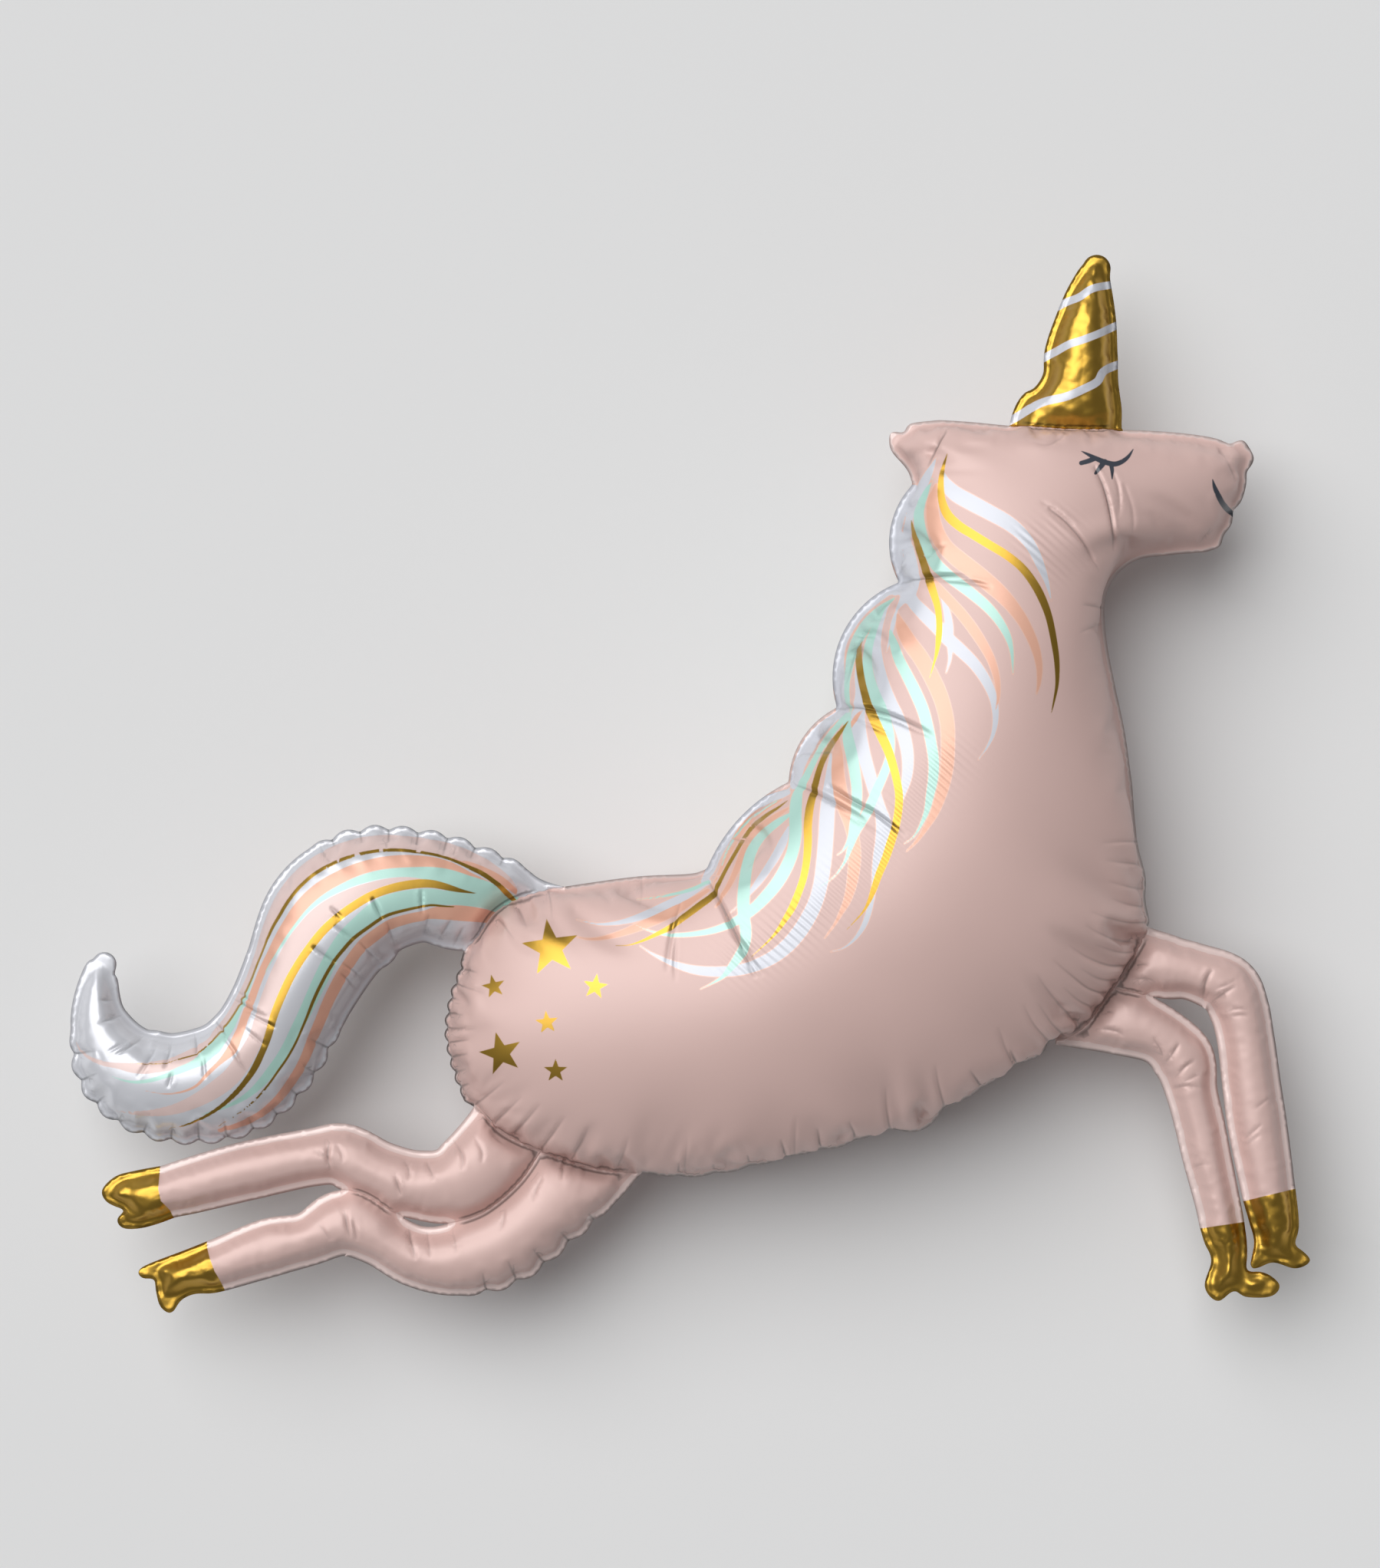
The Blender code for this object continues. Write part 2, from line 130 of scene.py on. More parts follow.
@dataclass(frozen=True)
class Limb:
    """A chamber round a middle line, with a round end or a hoof.

    The spine holds (x, y, half width) from the root in the trunk to the end, and the hoof's outline runs
    from the limb's left side to its right, all in thousandths of the balloon's length.
    """

    name: str
    spine: tuple
    hoof: tuple = ()
    left: Frill = PLAIN
    right: Frill = PLAIN
    passage: float = SIZES.limb_passage

    @property
    def number(self) -> int:
        """The number of the limb's chamber."""
        return CHAMBERS.index(self.name)

    def sides(self) -> tuple[Points, Points]:
        """The left side from the root to the end, and the right side back to the root, in metres."""
        middle = Curve.drawn(self.spine)
        out = Curve.left(middle) * middle[:, 2:]
        return middle[:, :2] + out, (middle[:, :2] - out)[::-1]


TAIL = Limb(
    "tail",
    ((-96, -108, 22), (-128, -104, 28), (-155, -97, 38), (-184, -92, 43.5), (-212, -84, 44.5),
     (-247, -86, 51.5), (-272, -97, 56.5), (-293, -116, 56), (-313, -155, 49), (-329, -188, 46.5),
     (-347, -217, 47), (-375, -239, 47.3), (-422, -244.5, 43.5), (-459.5, -226, 38),
     (-477.5, -190, 23.5), (-477, -156, 15), (-473, -146, 10)),
    left=Frill(0.026, 0.0048, 0.36, 0.90),
    right=Frill(0.026, 0.0048, 0.08, 0.46))
NEAR_HIND = Limb(
    "near_hind_leg",
    ((-62, -281, 38), (-85, -310, 37.5), (-115, -344, 32), (-151, -373, 31.5), (-190, -384, 29.5),
     (-222, -381.5, 25), (-252, -366, 23.5), (-280, -355, 27), (-309, -367.7, 22),
     (-340, -374.7, 23.8), (-380, -388.5, 21.5)),
    ((-386, -411.5), (-400, -412), (-411, -417), (-419, -427.5), (-428, -422), (-431.5, -409),
     (-433, -400), (-442, -399.5), (-446, -394), (-438, -388), (-408, -376.5)),
    left=Frill(0.030, 0.0048, 0.10, 0.50))
FAR_HIND = Limb(
    "far_hind_leg",
    ((-122, -258, 46), (-151, -292, 38), (-189, -322, 32), (-220, -324, 28), (-251, -315, 26.5),
     (-280, -300.5, 26), (-304, -301.5, 23.5), (-357, -312.5, 24), (-401, -324, 22.8),
     (-421, -329.3, 21.5)),
    ((-430, -355.5), (-444, -359), (-458, -359), (-463, -352), (-457, -344.5), (-464, -341.5),
     (-472, -337), (-475, -328), (-464, -317), (-448, -312.5)))
FAR_FRONT = Limb(
    "far_front_leg",
    ((340, -136, 28), (384, -148, 26), (404, -151.5, 23.5), (432, -163, 25.5), (442, -181, 24.5),
     (447.5, -205, 23.3), (453, -247, 23.8), (457.8, -280, 24), (466.5, -331.5, 21.8)),
    ((490, -345), (490.5, -360), (487.5, -372), (494, -377.5), (500, -385.5), (488, -391.5),
     (470, -386.5), (458, -391), (451.5, -389.5), (454.5, -370), (450.5, -354)))
NEAR_FRONT = Limb(
    "near_front_leg",
    ((306, -176, 37), (348, -191, 29), (380, -204.5, 24), (397.5, -223, 25.4), (404.3, -250, 21),
     (410.8, -276, 20.3), (416, -300, 19.8), (425, -338, 18.4), (428.3, -354, 18.2)),
    ((448.5, -368), (449, -380), (449, -393), (460, -394), (469, -398), (475.5, -406), (468, -414),
     (448, -414.5), (438, -409.5), (425, -418), (414.5, -406), (420, -385), (414.5, -371)))
HORN = Limb(
    "horn",
    ((303, 268, 48), (305.5, 290, 46.5), (311.5, 308, 37.5), (314.5, 327, 30.5), (315, 346, 29.7),
     (318.5, 370, 25.5), (321.5, 391, 20.2), (324.5, 406, 15), (327.5, 415, 11.5)),
    passage=SIZES.horn_passage)
LIMBS = (TAIL, NEAR_HIND, FAR_HIND, FAR_FRONT, NEAR_FRONT, HORN)


@dataclass(frozen=True)
class Trunk:
    """The outline of the trunk, neck and head, clockwise, in thousandths of the balloon's length."""

    name: str = "trunk"
    number: int = 0
    back: tuple = ((-184, -137), (-171, -123), (-160, -106), (-142, -94), (-115, -86), (-79, -80),
                   (-40, -75), (0, -73), (13, -69))
    mane_notches: tuple = ((13, -69), (79, 1), (118, 61), (168, 162), (179, 241))
    mane_bulges: tuple = (9, 10, 22.5, 13)
    stretches: tuple = (
        (((179, 241), (174.5, 253), (162.5, 267), (160, 276), (162, 283.5), (172, 283), (177, 290),
          (200, 293)), PLAIN),
        (((200, 293), (225, 291.5), (256, 288.5), (303, 285), (350, 285), (390, 283), (420, 279),
          (435, 273.5)), PLAIN),
        (((435, 273.5), (445, 277), (451, 270), (454.5, 261), (448.5, 251)), PLAIN),
        (((448.5, 251), (448, 240), (444, 227), (437.5, 220)), PLAIN),
        (((437.5, 220), (436.5, 209), (430, 200), (427, 191), (416, 186.5)), PLAIN),
        (((416, 186.5), (386, 184), (360, 180), (342, 166), (334, 145), (335.5, 115), (342, 80),
          (350, 42), (356, 0)), PLAIN),
        (((356, 0), (360, -45), (367.5, -75), (367.5, -94), (371, -112)), PLAIN),
        (((371, -112), (362, -131), (348, -155), (332, -177), (318, -196), (303, -205),
          (289.5, -208)), PLAIN),
        (((289.5, -208), (283, -219), (258, -231), (232, -249.5), (205, -262)), BELLY_FRILL),
        (((205, -262), (194, -276), (180, -282), (161, -279)), PLAIN),
        (((161, -279), (120, -293.5), (84, -300.5), (35, -313), (-5, -318), (-39, -315)), BELLY_FRILL),
        (((-39, -315), (-78, -310.5), (-117, -298), (-150, -283), (-168, -266), (-183, -257)), PLAIN),
        (((-183, -257), (-193, -228), (-198, -200), (-194, -172), (-187, -152), (-184, -137)),
         RUMP_FRILL),
    )


TRUNK = Trunk()
CHAMBERS = (TRUNK.name,) + tuple(limb.name for limb in LIMBS)


class Curve:
    """Plane curves through chosen points."""

    span_points = 12
    arc_points = 24
    scallop_points = 9
    scallop_mean = 0.55

    @staticmethod
    def metres(points: Iterable) -> Points:
        """Thousandths of the balloon's length as metres."""
        return np.asarray(points, float) * (SIZES.length / 1000)

    @classmethod
    def smooth(cls, points: Iterable) -> Points:
        """A Catmull-Rom curve through some points.

        Args:
            points: The points, each of two or more numbers.

        Returns:
            The curve's points, from the first to the last.
        """
        points = np.asarray(points, float)
        padded = np.vstack([2 * points[0] - points[1], points, 2 * points[-1] - points[-2]])
        t = np.linspace(0, 1, cls.span_points, endpoint=False)[:, None]
        spans = []
        for a, b, c, d in zip(padded, padded[1:], padded[2:], padded[3:]):
            bend = 2 * a - 5 * b + 4 * c - d
            twist = 3 * b - a - 3 * c + d
            spans.append((2 * b + (c - a) * t + bend * t**2 + twist * t**3) / 2)
        return np.vstack(spans + [points[-1:]])

    @classmethod
    def drawn(cls, points: Iterable) -> Points:
        """The curve in metres through points in thousandths of the balloon's length."""
        return cls.metres(cls.smooth(points))

    @classmethod
    def arc(cls, start: Iterable, end: Iterable, bulge: float) -> Points:
        """A circular arc that stands out to the left of the line from start to end.

        Args:
            start: The first point.
            end: The last point.
            bulge: The arc's height over the straight line.

        Returns:
            The arc's points.
        """
        start, end = np.array(start, float), np.array(end, float)
        half = np.linalg.norm(end - start) / 2
        along = (end - start) / (2 * half)
        left = np.array([-along[1], along[0]])
        radius = (half**2 + bulge**2) / (2 * bulge)
        turn = math.asin(half / radius)
        angles = np.linspace(-turn, turn, cls.arc_points)
        centre = (start + end) / 2 + left * (bulge - radius)
        return centre + radius * (np.outer(np.sin(angles), along) + np.outer(np.cos(angles), left))

    @staticmethod
    def lengths(line: Points) -> Points:
        """The distance from a line's first point to each of its points."""
        return np.concatenate([[0], np.cumsum(np.linalg.norm(np.diff(line[:, :2], axis=0), axis=1))])

    @staticmethod
    def left(line: Points) -> Points:
        """The unit vector to the left of a line at each of its points."""
        heading = np.gradient(line[:, :2], axis=0)
        heading /= np.linalg.norm(heading, axis=1)[:, None]
        return np.column_stack([-heading[:, 1], heading[:, 0]])

    @staticmethod
    def read(places: Points, along: Points, rows: Points) -> Points:
        """Rows of numbers along a line, read at some places on it."""
        return np.column_stack([np.interp(places, along, column) for column in rows.T])

    @staticmethod
    def even(start: float, end: float, step: float) -> list[float]:
        """Places from just after a start to an end, about a step apart."""
        if end - start < SIZES.close:
            return []
        return list(np.linspace(start, end, max(1, round((end - start) / step)) + 1)[1:])

    @classmethod
    def spaced(cls, line: Points, frill: Frill = PLAIN) -> Points:
        """A line's points set evenly, with scallops on its left.

        Args:
            line: The line's points.
            frill: The scallops, and where on the line they are.

        Returns:
            The points, about an outline step apart.
        """
        along = cls.lengths(line)
        start, end = frill.start * along[-1], frill.end * along[-1]
        count = round((end - start) / frill.pitch) if frill.depth else 0
        if count:
            frilled = cls.even(start, end, (end - start) / (cls.scallop_points * count))
            places = (cls.even(0, start, SIZES.outline_step) + frilled
                      + cls.even(end, along[-1], SIZES.outline_step))
        else:
            places = cls.even(0, along[-1], SIZES.outline_step)
        places = np.array([0.0] + places)
        points = cls.read(places, along, line[:, :2])
        if count:
            wave = np.abs(np.sin(np.pi * (places - start) * count / (end - start))) - cls.scallop_mean
            fade = np.clip(np.minimum(places - start, end - places) / frill.pitch, 0, 1)
            points += cls.left(points) * (wave * fade * frill.depth)[:, None]
        return points


def trunk_outline() -> Points:
    """The closed outline of the trunk, neck and head, in metres."""
    lines = [Curve.spaced(Curve.drawn(TRUNK.back))]
    notches = TRUNK.mane_notches
    for start, end, bulge in zip(notches, notches[1:], TRUNK.mane_bulges):
        lines.append(Curve.spaced(Curve.metres(Curve.arc(start, end, bulge))))
    for points, frill in TRUNK.stretches:
        lines.append(Curve.spaced(Curve.drawn(points), frill))
    return np.vstack([line[:-1] for line in lines])


def limb_outline(limb: Limb) -> Points:
    """The closed outline of a limb, in metres.

    Args:
        limb: The limb.

    Returns:
        The points down its left side, round its end and back up its right side.
    """
    left_side, right_side = limb.sides()
    if limb.hoof:
        tip = Curve.smooth(np.vstack([left_side[-1], Curve.metres(limb.hoof), right_side[0]]))
    else:
        middle = Curve.drawn(limb.spine)
        left = Curve.left(middle)[-1]
        heading = np.array([left[1], -left[0]])
        angles = np.linspace(0, math.pi, Curve.arc_points)[1:-1]
        round_end = np.outer(np.cos(angles), left) + np.outer(np.sin(angles), heading)
        tip = np.vstack([left_side[-1], middle[-1, :2] + middle[-1, 2] * round_end, right_side[0]])
    return np.vstack([Curve.spaced(left_side, limb.left)[:-1], Curve.spaced(tip)[:-1],
                      Curve.spaced(right_side, limb.right.turned())])


class Plane:
    """Measures and meshes in the plane of the film laid flat."""

    at_once = 400

    @staticmethod
    def inside(points: Points, outline: Points) -> Points:
        """Which points lie within a closed outline."""
        low, high = outline.min(axis=0), outline.max(axis=0)
        held = np.zeros(len(points), bool)
        close = np.flatnonzero(((points[:, :2] > low) & (points[:, :2] < high)).all(axis=1))
        x, y = points[close, :1], points[close, 1:2]
        x0, y0 = outline[:, 0], outline[:, 1]
        x1, y1 = np.roll(x0, -1), np.roll(y0, -1)
        rise = np.where(y1 == y0, 1.0, y1 - y0)
        crosses = (y0 > y) != (y1 > y)
        held[close] = (crosses & (x < x0 + (y - y0) * (x1 - x0) / rise)).sum(axis=1) % 2 == 1
        return held

    @classmethod
    def nearest(cls, points: Points, starts: Points, ends: Points) -> tuple[Points, Points, Points, Points]:
        """The nearest place to each point on some straight edges.

        Args:
            points: The points.
            starts: The edges' first ends.
            ends: The edges' last ends.

        Returns:
            Each point's distance, its nearest edge, the share of the edge, and the signed distance to the
            left of that edge.
        """
        line = ends - starts
        size = np.maximum((line**2).sum(axis=1), SIZES.same_place**2)
        far, which, shares, side = [], [], [], []
        for first in range(0, len(points), cls.at_once):
            away = points[first:first + cls.at_once, None] - starts
            share = np.clip((away * line).sum(axis=2) / size, 0, 1)
            gap = away - share[..., None] * line
            square = (gap**2).sum(axis=2)
            best = square.argmin(axis=1)
            rows = np.arange(len(best))
            far.append(np.sqrt(square[rows, best]))
            which.append(best)
            shares.append(share[rows, best])
            nearest_gap = gap[rows, best]
            cross = line[best, 0] * nearest_gap[:, 1] - line[best, 1] * nearest_gap[:, 0]
            side.append(np.sign(cross) * far[-1])
        return tuple(np.concatenate(parts) for parts in (far, which, shares, side))

    @classmethod
    def along(cls, points: Points, line: Points) -> tuple[Points, Points, Points, Points]:
        """The nearest place to each point on an open line, told as by nearest()."""
        return cls.nearest(points, line[:-1, :2], line[1:, :2])

    @staticmethod
    def around(points: Points, line: Points, room: float) -> Points:
        """The numbers of the points in the box round a line, with some room."""
        low, high = line[:, :2].min(axis=0) - room, line[:, :2].max(axis=0) + room
        return np.flatnonzero(((points > low) & (points < high)).all(axis=1))

    @staticmethod
    def triangulated(points: Points, edges: Points) -> tuple[Points, Points]:
        """The Delaunay triangles of some points, with some edges kept."""
        edges = [(int(a), int(b)) for a, b in edges]
        found = delaunay_2d_cdt([Vector(p) for p in points], edges, [], 0, SIZES.same_place, False)
        return np.array([tuple(v) for v in found[0]]), np.array([tuple(f) for f in found[2]])

    @staticmethod
    def thinned(points: Points, apart: float, kept: Points, passed: int = 0) -> Points:
        """The kept points and the others that stay apart from each other and from most of the kept.

        Args:
            points: The points to choose from.
            apart: The least distance.
            kept: The points that stay whatever is near them.
            passed: How many of the first kept points aren't measured against.

        Returns:
            The points that stay, the kept ones first.
        """
        cells: dict[tuple[int, int], list] = {}
        for x, y in kept[passed:]:
            cells.setdefault((int(x // apart), int(y // apart)), []).append((x, y))
        added = []
        for x, y in points:
            column, row = int(x // apart), int(y // apart)
            around = ((i, j) for i in (column - 1, column, column + 1) for j in (row - 1, row, row + 1))
            if all((x - u)**2 + (y - v)**2 > apart**2 for cell in around for u, v in cells.get(cell, ())):
                cells.setdefault((column, row), []).append((x, y))
                added.append((x, y))
        return np.vstack([kept, np.array(added).reshape(-1, 2)])

    @staticmethod
    def lattice(low: Points, high: Points, step: float) -> Points:
        """The points of a triangular lattice over a box."""
        rows = np.arange(low[1], high[1], step * math.sqrt(3) / 2)
        columns = np.arange(low[0], high[0], step)
        x = columns + (np.arange(len(rows)) % 2 * step / 2)[:, None]
        return np.column_stack([x.ravel(), np.repeat(rows, len(columns))])


class Net:
    """Sums over the triangles and the edges of a mesh."""

    @staticmethod
    def summed(places: Points, rows: Points, count: int) -> Points:
        """For each of a count of places, the sum of the rows that go there."""
        return np.column_stack([np.bincount(places, column, count) for column in rows.T])

    @classmethod
    def at_corners(cls, triangles: Points, rows: Points, count: int) -> Points:
        """For each of a count of points, the sum of the rows of the triangles round it."""
        return sum(cls.summed(corners, rows, count) for corners in triangles.T)

    @staticmethod
    def facing(points: Points, triangles: Points) -> Points:
        """For each triangle the vector square to it, twice its area long."""
        p, q, r = points[triangles.T]
        u, v = (q - p).T, (r - p).T
        return np.column_stack([u[1] * v[2] - u[2] * v[1], u[2] * v[0] - u[0] * v[2],
                                u[0] * v[1] - u[1] * v[0]])


class Plan:
    """The balloon laid out: its chambers' outlines, the outer edge and the seams between chambers."""

    field_room = 1 / 3
    field_apart = 0.7
    passage_slope = 2.0

    def __init__(self) -> None:
        self.outlines = [trunk_outline()] + [limb_outline(limb) for limb in LIMBS]
        edges, first = [], 0
        for outline in self.outlines:
            run = first + np.arange(len(outline))
            edges.append(np.column_stack([run, np.roll(run, -1)]))
            first += len(outline)
        corners, triangles = Plane.triangulated(np.vstack(self.outlines), np.vstack(edges))
        outer, seams = self.borders(triangles, self.chambers(corners, triangles))
        used, ends = np.unique(np.vstack([outer, seams[:, :2]]), return_inverse=True)
        self.corners, self.edges = corners[used], ends.reshape(-1, 2)
        self.outer, self.seams = self.edges[:len(outer)], self.edges[len(outer):]
        self.seam_limb = seams[:, 3]

    def chambers(self, corners: Points, triangles: Points) -> Points:
        """The number of the chamber that each triangle lies in, or -1."""
        centres = corners[triangles].mean(axis=1)
        chambers = np.full(len(triangles), -1)
        for number in reversed(range(len(self.outlines))):
            chambers[Plane.inside(centres, self.outlines[number])] = number
        return chambers

    @staticmethod
    def borders(triangles: Points, chambers: Points) -> tuple[Points, Points]:
        """The edges round the whole balloon, and those between two chambers with the chambers' numbers."""
        sides: dict[tuple[int, int], list] = {}
        for triangle, chamber in zip(triangles.tolist(), chambers.tolist()):
            for a, b in zip(triangle, triangle[1:] + triangle[:1]):
                sides.setdefault((min(a, b), max(a, b)), []).append(chamber)
        outer, seams = [], []
        for edge, (one, *other) in sides.items():
            two = other[0] if other else -1
            if one != two and min(one, two) < 0:
                outer.append(edge)
            elif one != two:
                seams.append((*edge, min(one, two), max(one, two)))
        return np.array(outer), np.array(seams)

    def holds(self, points: Points) -> Points:
        """Which points lie on the balloon."""
        return np.any([Plane.inside(points, outline) for outline in self.outlines], axis=0)

    def to_edges(self, points: Points, edges: Points) -> Points:
        """How far points are from some of the plan's edges."""
        return Plane.nearest(points, self.corners[edges[:, 0]], self.corners[edges[:, 1]])[0]

    def from_weld(self, points: Points, from_outline: Points) -> Points:
        """How far points are from the flat film of the nearest weld, negative on it."""
        seam = self.to_edges(points, self.seams) - SIZES.seam_width / 2
        return np.minimum(from_outline - SIZES.weld_margin, seam)

    def passage(self, points: Points, from_outline: Points) -> Points:
        """Half the height of the air's way through a seam, at points on it."""
        heights = np.zeros(len(points))
        for number, limb in enumerate(LIMBS, start=1):
            own = self.seams[self.seam_limb == number]
            if len(own):
                on_seam = self.to_edges(points, own) <= SIZES.seam_width / 2 + SIZES.close
                heights[on_seam] = limb.passage / 2
        return np.minimum(heights, self.passage_slope * np.clip(from_outline - SIZES.weld_margin, 0, None))

    def beside(self, edges: Points, away: float) -> Points:
        """Points on both sides of some edges, at a distance from them."""
        start, end = self.corners[edges[:, 0]], self.corners[edges[:, 1]]
        along = (end - start) / np.linalg.norm(end - start, axis=1)[:, None]
        across = np.column_stack([-along[:, 1], along[:, 0]])
        return np.vstack([spot + side * away * across for spot in (start, (start + end) / 2)
                          for side in (-1, 1)])

    def film_points(self) -> Points:
        """The points of the film: outline and seams, rows beside them, and a lattice further in."""
        kept = self.corners
        for depth in SIZES.rim_depths:
            close = np.vstack([self.beside(self.outer, SIZES.weld_margin + depth),
                               self.beside(self.seams, SIZES.seam_width / 2 + depth)])
            close = close[self.holds(close)]
            away = self.from_weld(close, self.to_edges(close, self.outer))
            kept = Plane.thinned(close[away > depth - SIZES.close], SIZES.rim_step, kept, len(self.corners))
        field_points = Plane.lattice(kept.min(axis=0), kept.max(axis=0), SIZES.field_step)
        field_points = field_points[self.holds(field_points)]
        away = self.from_weld(field_points, self.to_edges(field_points, self.outer))
        room = SIZES.rim_depths[-1] + SIZES.field_step * self.field_room
        return Plane.thinned(field_points[away > room], SIZES.field_step * self.field_apart, kept)


class Air:
    """The form that air gives to a film welded along some lines."""

    solved = 1e-16

    def __init__(self, points: Points, triangles: Points) -> None:
        ends, weights = [], []
        self.area = np.zeros(len(points))
        self.points, self.triangles = points, triangles
        for turn in range(3):
            a, b, c = (points[triangles[:, (turn + k) % 3]] for k in range(3))
            u, v = a - c, b - c
            cross = u[:, 0] * v[:, 1] - u[:, 1] * v[:, 0]
            ends.append(np.column_stack([triangles[:, turn], triangles[:, (turn + 1) % 3]]))
            weights.append((u * v).sum(axis=1) / cross / 2)
            self.area += np.bincount(triangles[:, turn], cross / 6, len(points))
        self.ends, self.weights = np.vstack(ends), np.concatenate(weights)

    def pull(self, values: Points) -> Points:
        """The stretched film's pull at each point, for some heights."""
        flow = self.weights * (values[self.ends[:, 0]] - values[self.ends[:, 1]])
        count = len(values)
        return np.bincount(self.ends[:, 0], flow, count) - np.bincount(self.ends[:, 1], flow, count)

    def lift(self, fixed: Points, at_fixed: Points) -> Points:
        """Half the square of the height, by conjugate gradients.

        Args:
            fixed: Which points are held.
            at_fixed: The height of the held ones.

        Returns:
            The value at each point.
        """
        value = np.where(fixed, at_fixed**2 / 2, 0)
        left = np.where(fixed, 0, self.area - self.pull(value))
        step = left.copy()
        left_size = left @ left
        enough = self.solved * left_size
        while left_size > enough:
            pulled = np.where(fixed, 0, self.pull(step))
            share = left_size / (step @ pulled)
            value += share * step
            left -= share * pulled
            step = left + step * (left @ left) / left_size
            left_size = left @ left
        return np.maximum(value, 0)

    def slope(self, values: Points) -> Points:
        """The gradient of some values at each point, as a mean over the triangles round it."""
        a, b, c = self.points[self.triangles.T]
        va, vb, vc = values[self.triangles.T]
        u, v = b - a, c - a
        cross = u[:, 0] * v[:, 1] - u[:, 1] * v[:, 0]
        gx = ((vb - va) * v[:, 1] - (vc - va) * u[:, 1]) / cross
        gy = ((vc - va) * u[:, 0] - (vb - va) * v[:, 0]) / cross
        total = Net.at_corners(self.triangles, np.column_stack([gx * cross, gy * cross, cross]), len(values))
        return total[:, :2] / np.where(total[:, 2:], total[:, 2:], 1)


@dataclass(frozen=True)
class Slack:
    """How the film is worked as a cloth that hardly stretches, with air behind it and its welds held."""

    steps: int = 900
    pressure: float = 1.0
    stretch: float = 12.0
    bending: float = 0.6
    time_step: float = 0.11
    drag: float = 0.03
    push_every: int = 4
    slack_power: float = 1.5
    farthest: float = 0.012
    shiver: float = 0.00025
    seed: int = 7


class Sheet:
    """A film of triangles: its points in space, the values that go with them, and each triangle's chamber."""

    def __init__(self, points: Points, triangles: Points, values: Points, chambers: Points) -> None:
        self.points, self.triangles, self.values, self.chambers = points, triangles, values, chambers

    def edges(self) -> tuple[Points, Points, Points]:
        """The sheet's edges, each triangle's three edges, and how many triangles share each edge."""
        sides = np.vstack([self.triangles[:, (k, (k + 1) % 3)] for k in range(3)])
        edges, which, count = np.unique(np.sort(sides, axis=1), axis=0, return_inverse=True,
                                        return_counts=True)
        return edges, which.reshape(3, -1).T, count

    def rim(self) -> Points:
        """Which points lie on the sheet's open edge."""
        edges, _, count = self.edges()
        on_rim = np.zeros(len(self.points), bool)
        on_rim[edges[count == 1]] = True
        return on_rim

    def subdivided(self) -> "Sheet":
        """The sheet with each triangle parted in four and the surface smoothed by Loop's rule."""
        edges, which, count = self.edges()
        total = len(self.points)
        a, b = edges.T
        opposite = sum(Net.summed(which[:, k], self.points[self.triangles[:, (k + 2) % 3]], len(edges))
                       for k in range(3))
        open_edge = count == 1
        middle = np.where(open_edge[:, None], (self.points[a] + self.points[b]) / 2,
                          (self.points[a] + self.points[b]) * 3 / 8 + opposite / 8)
        around = self.neighbour_sum(self.points, edges, total)
        number = np.bincount(edges.ravel(), minlength=total)[:, None]
        share = np.where(number > 3, 3 / (8 * number), 3 / 16)
        moved = (1 - number * share) * self.points + share * around
        along_rim = self.neighbour_sum(self.points, edges[open_edge], total)
        moved = np.where(self.rim()[:, None], self.points * 3 / 4 + along_rim / 8, moved)
        values = np.vstack([self.values, (self.values[a] + self.values[b]) / 2])
        p, q, r = self.triangles.T
        pq, qr, rp = (total + which).T
        triangles = np.vstack([np.column_stack(part) for part in
                               ((p, pq, rp), (q, qr, pq), (r, rp, qr), (pq, qr, rp))])
        return Sheet(np.vstack([moved, middle]), triangles, values, np.tile(self.chambers, 4))

    def refined(self, finer: Points) -> "Sheet":
        """The sheet with the edges between some points parted in two, along the curve of the surface.

        Args:
            finer: Which points want smaller triangles round them.

        Returns:
            The new sheet.
        """
        edges, which, _ = self.edges()
        a, b = edges.T
        parted = finer[a] & finer[b]
        number = np.where(parted, len(self.points) + np.cumsum(parted) - 1, -1)
        a, b = a[parted], b[parted]
        line, normal = self.points[b] - self.points[a], self.normals()
        lean_a = (line * normal[a]).sum(axis=1)[:, None] * normal[a]
        lean_b = (line * normal[b]).sum(axis=1)[:, None] * normal[b]
        middle = (self.points[a] + self.points[b]) / 2 - (lean_a - lean_b) / 8
        values = np.vstack([self.values, (self.values[a] + self.values[b]) / 2])
        corner, half = self.triangles, number[which]
        count = (half >= 0).sum(axis=1)
        parts, chambers = [corner[count == 0]], [self.chambers[count == 0]]
        for k in range(3):
            order = [k, (k + 1) % 3, (k + 2) % 3]
            one = (count == 1) & (half[:, k] >= 0)
            (p, q, r), m = corner[one][:, order].T, half[one, k]
            parts += [np.column_stack([p, m, r]), np.column_stack([m, q, r])]
            chambers += [self.chambers[one]] * 2
            two = (count == 2) & (half[:, k] < 0)
            (p, q, r), m, n = corner[two][:, order].T, half[two, order[1]], half[two, order[2]]
            parts += [np.column_stack(part) for part in ((m, r, n), (p, q, m), (p, m, n))]
            chambers += [self.chambers[two]] * 3
        p, q, r = corner[count == 3].T
        pq, qr, rp = half[count == 3].T
        parts += [np.column_stack(part) for part in ((p, pq, rp), (q, qr, pq), (r, rp, qr), (pq, qr, rp))]
        chambers += [self.chambers[count == 3]] * 4
        return Sheet(np.vstack([self.points, middle]), np.vstack(parts), values, np.concatenate(chambers))

    @staticmethod
    def neighbour_sum(points: Points, edges: Points, total: int) -> Points:
        """The sum of each point's neighbours along some edges."""
        a, b = edges.T
        return Net.summed(a, points[b], total) + Net.summed(b, points[a], total)

